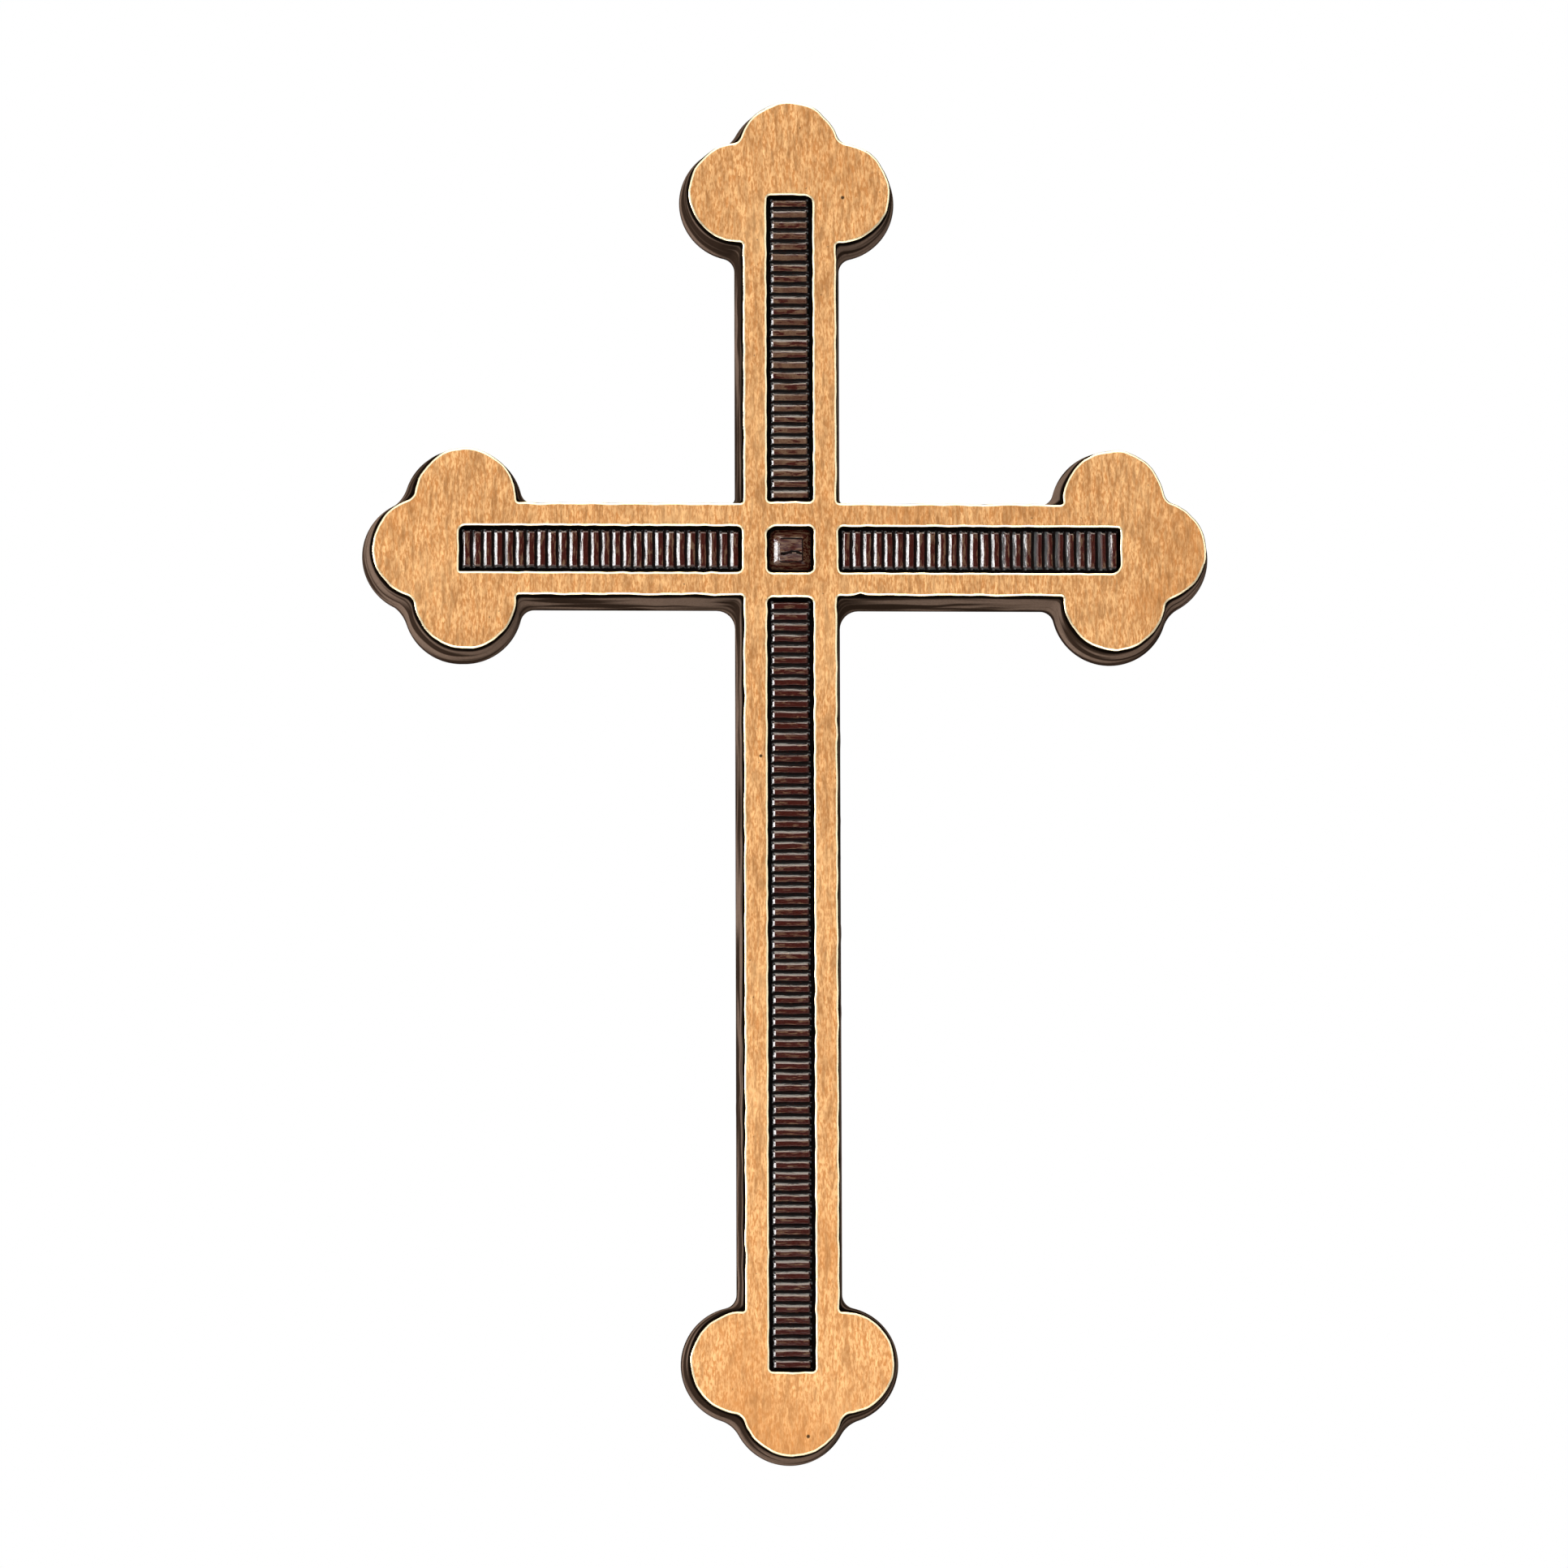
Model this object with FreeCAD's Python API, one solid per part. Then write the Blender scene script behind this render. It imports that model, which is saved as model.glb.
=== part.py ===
import FreeCAD, Part
import math
import os

# Budded (trefoil-ended) Latin cross in cast bronze, fixed flat to a wall or slab by four threaded studs.
# Millimetres. +Z is up the shaft, +X is to the viewer's right, and the brushed face looks along -Y.
# The origin is the crossing of shaft and crossbar, in the plane of the back rim that rests on the wall.

# ---- outline of the face ----
THICKNESS = 10.0            # face to back rim
SHAFT_HALF_WIDTH = 6.75
CROSSBAR_HALF_WIDTH = 6.65
UPPER_REACH = 52.35         # crossing to the side lobes of the upper bud
LOWER_REACH = 118.45
SIDE_REACH = 47.4
LOBE_RADIUS = 7.4
SIDE_LOBE_OFFSET = 7.35     # side lobe centre from the arm's centre line
END_LOBE_OFFSET = 6.1       # end lobe centre beyond the side lobes
FACE_CORNER_RADIUS = 0.5    # hollow corners beside the arms, nearly sharp at the face
BACK_CORNER_RADIUS = 2.0    # and open at the back
FACE_CUSP_RADIUS = 1.6      # hollow corners between the lobes of a bud
BACK_CUSP_RADIUS = 4.5
DRAFT = 1.1                 # how far the back outline stands outside the face outline
EDGE_BEVEL = 0.25           # worn edge round the face and round each pocket

# ---- recessed pockets ----
POCKET_WIDTH = 6.6
POCKET_START = 7.05         # crossing to the near end of each long pocket
POCKET_CORNER_RADIUS = 0.8
POCKET_DEPTH = 1.8
POCKET_TAPER = 0.08         # the floor is this much smaller on each side
CENTRE_POCKET_WIDTH = 6.8

# ---- hollow back ----
FLOOR_DEPTH = 3.8           # face to the floor of the hollow
RIM_WALL = 2.4
HOLLOW_TAPER = 0.6
WEB_THICKNESS = 1.8
WEB_RECESS = 1.5            # webs stop short of the rim plane
CENTRE_PAD_RADIUS = 4.0

# ---- fluted inlays ----
FIT_GAP = 0.05              # round each inlay in its pocket
FLANGE_THICKNESS = 0.5
RIB_PITCH = 1.59
RIB_WIDTH_SHARE = 0.9       # of the pitch
RIB_HEIGHT = 0.85
RIB_LENGTH = 5.7
RIB_END_RADIUS = 0.6
RIB_END_MARGIN = 0.35       # pocket end to the first rib
PEG_RADIUS = 1.0
PEG_HEAD_RADIUS = 1.8
PEG_HEAD_HEIGHT = 0.9

# ---- centre boss ----
BOSS_TOP_WIDTH = 3.5
BOSS_STEP_WIDTH = 5.6
BOSS_HEIGHT = 0.95          # bevelled part above its flange
BOSS_PEG_RADIUS = 1.5
BOSS_PEG_LENGTH = 3.7

# ---- M5 fixing studs and thin lock nuts ----
STUD_OFFSET = 4.95          # stud axis beyond the side lobes
STUD_RADIUS = 2.5
THREAD_PITCH_RADIUS = 2.24  # where two threads are engaged, both are drawn at this radius
STUD_PROJECTION = 30.0      # beyond the wall plane
STUD_TIP_CHAMFER = 0.8
STUD_END_CLEARANCE = 0.2
STUD_HOLE_FLOOR = 2.2       # metal left between the face and the tapped hole
STUD_BOSS_RADIUS = 5.0
STUD_BOSS_FOOT_RADIUS = 5.5
NUT_HEIGHT = 2.7
NUT_ACROSS_FLATS = 8.0
NUT_CHAMFER_RADIUS = 3.9
NUT_CHAMFER_HEIGHT = 0.45
NUT_RECESS = 0.3            # nut face below the rim plane

FACE_Y = -THICKNESS
POCKET_FLOOR_Y = FACE_Y + POCKET_DEPTH
HOLLOW_FLOOR_Y = FACE_Y + FLOOR_DEPTH
NUT_SEAT_Y = -NUT_RECESS - NUT_HEIGHT
FLANGE_TOP_Y = POCKET_FLOOR_Y - FLANGE_THICKNESS

SHAPE_AXIS = FreeCAD.Vector(0, 1, 0)


class Arm:
    """One arm of the cross, drawn pointing up and then turned about the crossing."""

    def __init__(self, turn, reach, half_width, neighbour_half_width, pocket_end, webs, pegs):
        self.turn = turn
        self.reach = reach
        self.half_width = half_width
        self.neighbour_half_width = neighbour_half_width
        self.pocket_end = pocket_end
        self.webs = webs
        self.pegs = pegs

    def place(self, shape):
        """Turns a shape drawn on the upward arm to this arm."""
        turned = shape.copy()
        turned.rotate(FreeCAD.Vector(0, 0, 0), SHAPE_AXIS, self.turn)
        return turned

    @property
    def stud_station(self):
        return self.reach + STUD_OFFSET


# Clockwise round the cross, as the viewer sees it.
ARMS = {
    "upper": Arm(0, UPPER_REACH, SHAFT_HALF_WIDTH, CROSSBAR_HALF_WIDTH,
                 pocket_end=UPPER_REACH - 0.05, webs=[30.0], pegs=[18.0, 42.0]),
    "right": Arm(90, SIDE_REACH, CROSSBAR_HALF_WIDTH, SHAFT_HALF_WIDTH,
                 pocket_end=SIDE_REACH + 0.9, webs=[28.0], pegs=[17.0, 39.0]),
    "lower": Arm(180, LOWER_REACH, SHAFT_HALF_WIDTH, CROSSBAR_HALF_WIDTH,
                 pocket_end=LOWER_REACH + 1.25, webs=[36.0, 64.0, 92.0], pegs=[20.0, 50.0, 78.0, 106.0]),
    "left": Arm(270, SIDE_REACH, CROSSBAR_HALF_WIDTH, SHAFT_HALF_WIDTH,
                pocket_end=SIDE_REACH + 0.9, webs=[28.0], pegs=[17.0, 39.0]),
}


# ---------------------------------------------------------------- outline of the cross

def arc_points(centre, radius, start, end):
    """Start, middle and end of an arc, as points (across, along) of an arm; the angles are in radians."""
    angles = (start, (start + end) / 2, end)
    return [(centre[0] + radius * math.cos(a), centre[1] + radius * math.sin(a)) for a in angles]


def arm_outline(arm, offset, corner_radius, cusp_radius):
    """Edges of one arm and its bud, from its left root round to its right root, then the root corner."""
    half_width = arm.half_width + offset
    root = arm.neighbour_half_width + offset + corner_radius
    lobe = LOBE_RADIUS + offset
    reach = arm.reach
    side_lobe = (-SIDE_LOBE_OFFSET, reach)
    end_lobe = (0.0, reach + END_LOBE_OFFSET)

    # hollow corner between the straight side and the side lobe
    neck_across = -(half_width + corner_radius)
    neck_drop = math.sqrt((lobe + corner_radius) ** 2 - (neck_across - side_lobe[0]) ** 2)
    neck = (neck_across, reach - neck_drop)
    neck_to_lobe = math.atan2(side_lobe[1] - neck[1], side_lobe[0] - neck[0])

    # hollow corner between the side lobe and the end lobe
    gap = math.hypot(SIDE_LOBE_OFFSET, END_LOBE_OFFSET)
    cusp_out = math.sqrt((lobe + cusp_radius) ** 2 - (gap / 2) ** 2)
    cusp = (
        side_lobe[0] / 2 - END_LOBE_OFFSET / gap * cusp_out,
        reach + END_LOBE_OFFSET / 2 + SIDE_LOBE_OFFSET / gap * cusp_out,
    )
    side_to_cusp = math.atan2(cusp[1] - side_lobe[1], cusp[0] - side_lobe[0])
    cusp_to_end = math.atan2(end_lobe[1] - cusp[1], end_lobe[0] - cusp[0])

    left = [
        [(-half_width, root), (-half_width, neck[1])],
        arc_points(neck, corner_radius, 0.0, neck_to_lobe),
        arc_points(side_lobe, lobe, neck_to_lobe + math.pi, side_to_cusp),
        arc_points(cusp, cusp_radius, side_to_cusp - math.pi, cusp_to_end),
    ]
    cap = arc_points(end_lobe, lobe, cusp_to_end + math.pi, -cusp_to_end)
    right = [[(-across, along) for across, along in reversed(edge)] for edge in reversed(left)]
    corner = (half_width + corner_radius, root)
    return left + [cap] + right + [arc_points(corner, corner_radius, math.pi, math.pi * 1.5)]


def edge_through(points):
    """A line through two points, or an arc through three."""
    if len(points) == 2:
        return Part.LineSegment(*points).toShape()
    return Part.Arc(*points).toShape()


def cross_outline(offset, corner_radius, cusp_radius, y):
    """Closed outline of the whole cross, grown by offset, in the plane at y."""
    edges = []
    for arm in ARMS.values():
        for points in arm_outline(arm, offset, corner_radius, cusp_radius):
            vectors = [FreeCAD.Vector(across, y, along) for across, along in points]
            edges.append(arm.place(edge_through(vectors)))
    return Part.Wire(edges)


def rounded_rectangle(width, low, high, corner_radius, y):
    """Closed outline from low to high along Z, centred on X, in the plane at y."""
    right = width / 2
    inner = right - corner_radius
    edges = []
    corners = [(inner, high, 90), (inner, low, 0), (-inner, low, -90), (-inner, high, -180)]
    starts = []
    for across, along, start_degrees in corners:
        inset = -corner_radius if along == high else corner_radius
        centre = (across, along + inset)
        start = math.radians(start_degrees)
        points = arc_points(centre, corner_radius, start, start - math.pi / 2)
        starts.append([FreeCAD.Vector(a, y, b) for a, b in points])
    for index, points in enumerate(starts):
        edges.append(edge_through(points))
        edges.append(edge_through([points[-1], starts[(index + 1) % len(starts)][0]]))
    return Part.Wire(edges)


def ruled_solid(outlines):
    return Part.makeLoft(outlines, True, True)


def prism(outline, length):
    return Part.Face(outline).extrude(FreeCAD.Vector(0, length, 0))


def round_bar(radius, y_from, y_to, station=0.0):
    """Cylinder along +Y whose axis crosses the arm at the given distance from the crossing."""
    return Part.makeCylinder(radius, y_to - y_from, FreeCAD.Vector(0, y_from, station), SHAPE_AXIS)


def tapered_bar(radius_from, radius_to, y_from, y_to, station=0.0):
    base = FreeCAD.Vector(0, y_from, station)
    return Part.makeCone(radius_from, radius_to, y_to - y_from, base, SHAPE_AXIS)


# ---------------------------------------------------------------- cast body

def outer_block():
    """Solid cross: bevelled face edge, then sides drafted out to the back rim."""
    return ruled_solid([
        cross_outline(-EDGE_BEVEL, FACE_CORNER_RADIUS + EDGE_BEVEL, FACE_CUSP_RADIUS + EDGE_BEVEL, FACE_Y),
        cross_outline(0.0, FACE_CORNER_RADIUS, FACE_CUSP_RADIUS, FACE_Y + EDGE_BEVEL),
        cross_outline(DRAFT, BACK_CORNER_RADIUS, BACK_CUSP_RADIUS, 0.0),
    ])


def pocket(low, high, width):
    """Pocket to cut from the face: bevelled mouth and slightly tapered walls."""
    grow = [EDGE_BEVEL, 0.0, -POCKET_TAPER]
    depth = [FACE_Y, FACE_Y + EDGE_BEVEL, POCKET_FLOOR_Y]
    outlines = [
        rounded_rectangle(width + 2 * g, low - g, high + g, POCKET_CORNER_RADIUS + g, y)
        for g, y in zip(grow, depth)
    ]
    return ruled_solid(outlines)


def hollow():
    """Space behind the face: the drafted hollow less the stud bosses, the webs and the centre pad."""
    rim_inset = DRAFT - RIM_WALL
    space = ruled_solid([
        cross_outline(rim_inset - HOLLOW_TAPER, BACK_CORNER_RADIUS, BACK_CUSP_RADIUS, HOLLOW_FLOOR_Y),
        cross_outline(rim_inset, BACK_CORNER_RADIUS, BACK_CUSP_RADIUS, 0.0),
    ])
    kept = [round_bar(CENTRE_PAD_RADIUS, HOLLOW_FLOOR_Y, 0.0)]
    for arm in ARMS.values():
        boss = tapered_bar(STUD_BOSS_FOOT_RADIUS, STUD_BOSS_RADIUS, HOLLOW_FLOOR_Y, NUT_SEAT_Y,
                           arm.stud_station)
        kept.append(arm.place(boss))
        for station in arm.webs:
            kept.append(arm.place(web(station)))
    return space.cut(kept)


def web(station):
    """Plate across the hollow of an arm, wide enough to run into both side walls."""
    width = 2 * (SHAFT_HALF_WIDTH + DRAFT)
    depth = -WEB_RECESS - HOLLOW_FLOOR_Y
    corner = FreeCAD.Vector(-width / 2, HOLLOW_FLOOR_Y, station - WEB_THICKNESS / 2)
    return Part.makeBox(width, depth, WEB_THICKNESS, corner)


def cross_body():
    cuts = [hollow(), pocket(-CENTRE_POCKET_WIDTH / 2, CENTRE_POCKET_WIDTH / 2, CENTRE_POCKET_WIDTH)]
    cuts.append(round_bar(BOSS_PEG_RADIUS, POCKET_FLOOR_Y, POCKET_FLOOR_Y + BOSS_PEG_LENGTH))
    for arm in ARMS.values():
        cuts.append(arm.place(pocket(POCKET_START, arm.pocket_end, POCKET_WIDTH)))
        hole = round_bar(THREAD_PITCH_RADIUS, FACE_Y + STUD_HOLE_FLOOR, NUT_SEAT_Y, arm.stud_station)
        cuts.append(arm.place(hole))
        for station in arm.pegs:
            cuts.append(arm.place(round_bar(PEG_RADIUS, POCKET_FLOOR_Y, HOLLOW_FLOOR_Y, station)))
    return outer_block().cut(cuts)


# ---------------------------------------------------------------- inlays

def flange(low, high, width):
    """Thin plate that fills the floor of a pocket with a small gap all round."""
    shrink = POCKET_TAPER + FIT_GAP
    outline = rounded_rectangle(width - 2 * shrink, low + shrink, high - shrink,
                                POCKET_CORNER_RADIUS - shrink, FLANGE_TOP_Y)
    return prism(outline, FLANGE_THICKNESS)


def rib_block(low, high):
    """Row of round-topped ribs across the strip, with their ends rounded over."""
    first = low + RIB_END_MARGIN
    last = high - RIB_END_MARGIN
    count = round((last - first) / RIB_PITCH)
    pitch = (last - first) / count
    half_rib = pitch * RIB_WIDTH_SHARE / 2
    crest_y = FLANGE_TOP_Y - RIB_HEIGHT

    def point(y, z):
        return FreeCAD.Vector(-RIB_LENGTH / 2, y, z)

    edges = []
    previous = point(FLANGE_TOP_Y, first)
    for index in range(count):
        middle = first + pitch * (index + 0.5)
        start = point(FLANGE_TOP_Y, middle - half_rib)
        end = point(FLANGE_TOP_Y, middle + half_rib)
        edges.append(edge_through([previous, start]))
        edges.append(edge_through([start, point(crest_y, middle), end]))
        previous = end
    foot_y = FLANGE_TOP_Y + FLANGE_THICKNESS / 2
    corners = [previous, point(FLANGE_TOP_Y, last), point(foot_y, last), point(foot_y, first),
               point(FLANGE_TOP_Y, first)]
    edges += [edge_through(list(pair)) for pair in zip(corners, corners[1:])]
    ribs = Part.Face(Part.Wire(edges)).extrude(FreeCAD.Vector(RIB_LENGTH, 0, 0))
    return ribs.common(rounded_bar(first, last, crest_y, foot_y))


def rounded_bar(low, high, top_y, foot_y):
    """Bar along Z whose two long top edges are rounded; it rounds over the ends of the ribs."""
    side = RIB_LENGTH / 2
    shoulder_y = top_y + RIB_END_RADIUS

    def point(x, y):
        return FreeCAD.Vector(x, y, low)

    def shoulder(sign):
        centre_x = sign * (side - RIB_END_RADIUS)
        lean = RIB_END_RADIUS * math.sqrt(0.5)
        return [point(sign * side, shoulder_y),
                point(centre_x + sign * lean, shoulder_y - lean),
                point(centre_x, top_y)]

    right = shoulder(1)
    left = shoulder(-1)[::-1]
    edges = [
        edge_through(right),
        edge_through([right[-1], left[0]]),
        edge_through(left),
        edge_through([left[-1], point(-side, foot_y)]),
        edge_through([point(-side, foot_y), point(side, foot_y)]),
        edge_through([point(side, foot_y), right[0]]),
    ]
    return Part.Face(Part.Wire(edges)).extrude(FreeCAD.Vector(0, 0, high - low))


def dome(radius, height, y, station):
    """Low spherical cap standing towards +Y on the plane at y."""
    ball_radius = (radius ** 2 + height ** 2) / (2 * height)
    ball = Part.makeSphere(ball_radius, FreeCAD.Vector(0, y + height - ball_radius, station))
    return ball.common(round_bar(radius, y, y + height, station))


def riveted_peg(station):
    """Peg through the floor of the pocket, its end hammered over to a dome in the hollow."""
    peg = round_bar(PEG_RADIUS, POCKET_FLOOR_Y, HOLLOW_FLOOR_Y, station)
    return [peg, dome(PEG_HEAD_RADIUS, PEG_HEAD_HEIGHT, HOLLOW_FLOOR_Y, station)]


def fluted_inlay(arm):
    pieces = [rib_block(POCKET_START, arm.pocket_end)]
    for station in arm.pegs:
        pieces += riveted_peg(station)
    inlay = flange(POCKET_START, arm.pocket_end, POCKET_WIDTH).fuse(pieces)
    return arm.place(inlay.removeSplitter())


def centre_boss():
    """Square boss with four bevelled sides and a flat top, on a flange with a pressed-in peg."""
    half = CENTRE_POCKET_WIDTH / 2
    widths = [BOSS_STEP_WIDTH, BOSS_TOP_WIDTH]
    heights = [FLANGE_TOP_Y, FLANGE_TOP_Y - BOSS_HEIGHT]
    radii = [POCKET_CORNER_RADIUS, EDGE_BEVEL]
    bevelled = ruled_solid([
        rounded_rectangle(width, -width / 2, width / 2, radius, y)
        for width, radius, y in zip(widths, radii, heights)
    ])
    peg = round_bar(BOSS_PEG_RADIUS, POCKET_FLOOR_Y, POCKET_FLOOR_Y + BOSS_PEG_LENGTH)
    return flange(-half, half, CENTRE_POCKET_WIDTH).fuse([bevelled, peg]).removeSplitter()


# ---------------------------------------------------------------- fixings

def stud(arm):
    """Threaded rod: screwed into its boss and through its nut, then free behind the cross."""
    start_y = FACE_Y + STUD_HOLE_FLOOR + STUD_END_CLEARANCE
    tip_y = STUD_PROJECTION
    shank_end_y = tip_y - STUD_TIP_CHAMFER
    engaged = round_bar(THREAD_PITCH_RADIUS, start_y, -NUT_RECESS, arm.stud_station)
    free = round_bar(STUD_RADIUS, -NUT_RECESS, shank_end_y, arm.stud_station)
    tip = tapered_bar(STUD_RADIUS, STUD_RADIUS - STUD_TIP_CHAMFER, shank_end_y, tip_y, arm.stud_station)
    return arm.place(engaged.fuse([free, tip]))


def lock_nut(arm):
    """Thin hexagon nut with its corners turned off on the outer face."""
    corner_radius = NUT_ACROSS_FLATS / math.sqrt(3)
    hexagon = Part.makePolygon([
        FreeCAD.Vector(corner_radius * math.cos(math.radians(60 * k)), NUT_SEAT_Y,
                       arm.stud_station + corner_radius * math.sin(math.radians(60 * k)))
        for k in range(7)
    ])
    crown_y = -NUT_RECESS - NUT_CHAMFER_HEIGHT
    turned = round_bar(corner_radius, NUT_SEAT_Y, crown_y, arm.stud_station).fuse(
        tapered_bar(corner_radius, NUT_CHAMFER_RADIUS, crown_y, -NUT_RECESS, arm.stud_station))
    bore = round_bar(THREAD_PITCH_RADIUS, NUT_SEAT_Y, -NUT_RECESS, arm.stud_station)
    return arm.place(prism(hexagon, NUT_HEIGHT).common(turned).cut(bore))


def main():
    nodes = {"cross_body": cross_body(), "centre_boss": centre_boss()}
    for side, arm in ARMS.items():
        nodes[side + "_inlay"] = fluted_inlay(arm)
        nodes[side + "_stud"] = stud(arm)
        nodes[side + "_lock_nut"] = lock_nut(arm)
    os.makedirs("parts", exist_ok=True)
    for name, shape in nodes.items():
        shape.exportStep("parts/" + name + ".step")
        print(name, shape.isValid(), len(shape.Solids), round(shape.Volume, 2))


main()
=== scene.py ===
import math

import bmesh
import bpy
import numpy as np
from mathutils import Matrix, Vector
from mathutils.geometry import delaunay_2d_cdt
from mathutils.kdtree import KDTree


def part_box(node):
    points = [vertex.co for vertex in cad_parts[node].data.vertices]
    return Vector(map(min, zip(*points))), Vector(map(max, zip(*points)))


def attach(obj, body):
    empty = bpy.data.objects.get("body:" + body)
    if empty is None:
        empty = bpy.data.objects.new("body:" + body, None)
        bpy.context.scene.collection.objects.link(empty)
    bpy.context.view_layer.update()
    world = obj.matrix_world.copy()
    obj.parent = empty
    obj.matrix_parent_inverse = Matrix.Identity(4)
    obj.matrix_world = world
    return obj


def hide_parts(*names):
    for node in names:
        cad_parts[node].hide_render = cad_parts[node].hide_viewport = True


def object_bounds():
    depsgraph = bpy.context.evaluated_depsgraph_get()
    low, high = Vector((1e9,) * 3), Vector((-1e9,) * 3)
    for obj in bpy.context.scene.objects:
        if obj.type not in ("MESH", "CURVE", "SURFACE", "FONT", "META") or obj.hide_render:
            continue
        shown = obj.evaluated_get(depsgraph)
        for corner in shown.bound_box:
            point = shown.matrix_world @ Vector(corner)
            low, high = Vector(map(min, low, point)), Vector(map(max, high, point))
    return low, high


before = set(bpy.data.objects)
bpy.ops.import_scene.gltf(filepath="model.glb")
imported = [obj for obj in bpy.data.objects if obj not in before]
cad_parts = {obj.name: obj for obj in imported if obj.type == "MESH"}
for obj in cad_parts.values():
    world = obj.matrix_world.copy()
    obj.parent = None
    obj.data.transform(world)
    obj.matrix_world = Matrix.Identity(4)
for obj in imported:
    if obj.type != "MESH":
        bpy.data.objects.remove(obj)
cad_low, cad_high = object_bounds()

# Looks of a budded bronze wall cross. The casting, inlays, boss, studs and nuts are all modelled again here
# in finer detail over the CAD frame. Sizes below are millimetres and become metres when a mesh is made.

MM = 0.001

# ---- sizes read from the frame ----
body_low, body_high = (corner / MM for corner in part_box("cross_body"))
FACE_Y = body_low.y
RIM_Y = body_high.y
THICKNESS = RIM_Y - FACE_Y

# ---- outline of the cross ----
SHAFT_HALF_WIDTH = 6.83
CROSSBAR_HALF_WIDTH = 6.78
LOBE_RADIUS = 7.4
SIDE_LOBE_OFFSET = 7.35
END_LOBE_OFFSET = 6.1
DRAFT = 1.1
SHAFT_DRAFT_SHARE = 0.8  # the sides of the shaft lean a little less than the rest
FACE_CORNER = 0.5  # hollow corners beside the arms, at the face and at the back
BACK_CORNER = 2.0
FACE_CUSP = 1.6  # hollow corners between the lobes of a bud
BACK_CUSP = 4.5
BUD_LENGTH = END_LOBE_OFFSET + LOBE_RADIUS + DRAFT
OUTLINE_STEP = 1.2  # between points along the straight sides
LOBE_STEPS = 44
CAP_STEPS = 22
CORNER_STEPS = 8

# ---- edges, pockets and hollow back ----
CHAMFER_WIDTH = 0.31  # worn, nearly flat edge of the face, and how far it falls
CHAMFER_DEPTH = 0.09
CHAMFER_ROUND = 0.07
POCKET_DEPTH = 1.8
POCKET_TAPER = 0.08
FLOOR_DEPTH = 3.8
RIM_WALL = 2.4
HOLLOW_TAPER = 0.6
HOLLOW_FILLET = 0.9
RIM_EDGE_RADIUS = 0.3
FLANGE_THICKNESS = 0.5
FLANGE_GAP = 0.13
FLOOR_Y = FACE_Y + FLOOR_DEPTH
POCKET_FLOOR_Y = FACE_Y + POCKET_DEPTH
FLANGE_TOP_Y = POCKET_FLOOR_Y - FLANGE_THICKNESS
UNDERSIDE_Y = POCKET_FLOOR_Y - 0.01  # a hair clear of the floor of the pocket
HOLLOW_OFFSET = DRAFT - RIM_WALL
HOLLOW_DEPTH = RIM_Y - FLOOR_Y

WAVES = 7  # sine waves summed in each random ripple


# ---- outlines ----

def arc(centre, radius, start, end, steps):
    angles = np.linspace(start, end, steps + 1)
    return np.column_stack([centre[0] + radius * np.cos(angles), centre[1] + radius * np.sin(angles)])


def turned(points, turn):
    """Points (across, along) of an upright arm, turned clockwise to another arm, as (x, z)."""
    c, s = math.cos(math.radians(turn)), math.sin(math.radians(turn))
    across, along = points[:, 0], points[:, 1]
    return np.column_stack([across * c + along * s, along * c - across * s])


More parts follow.
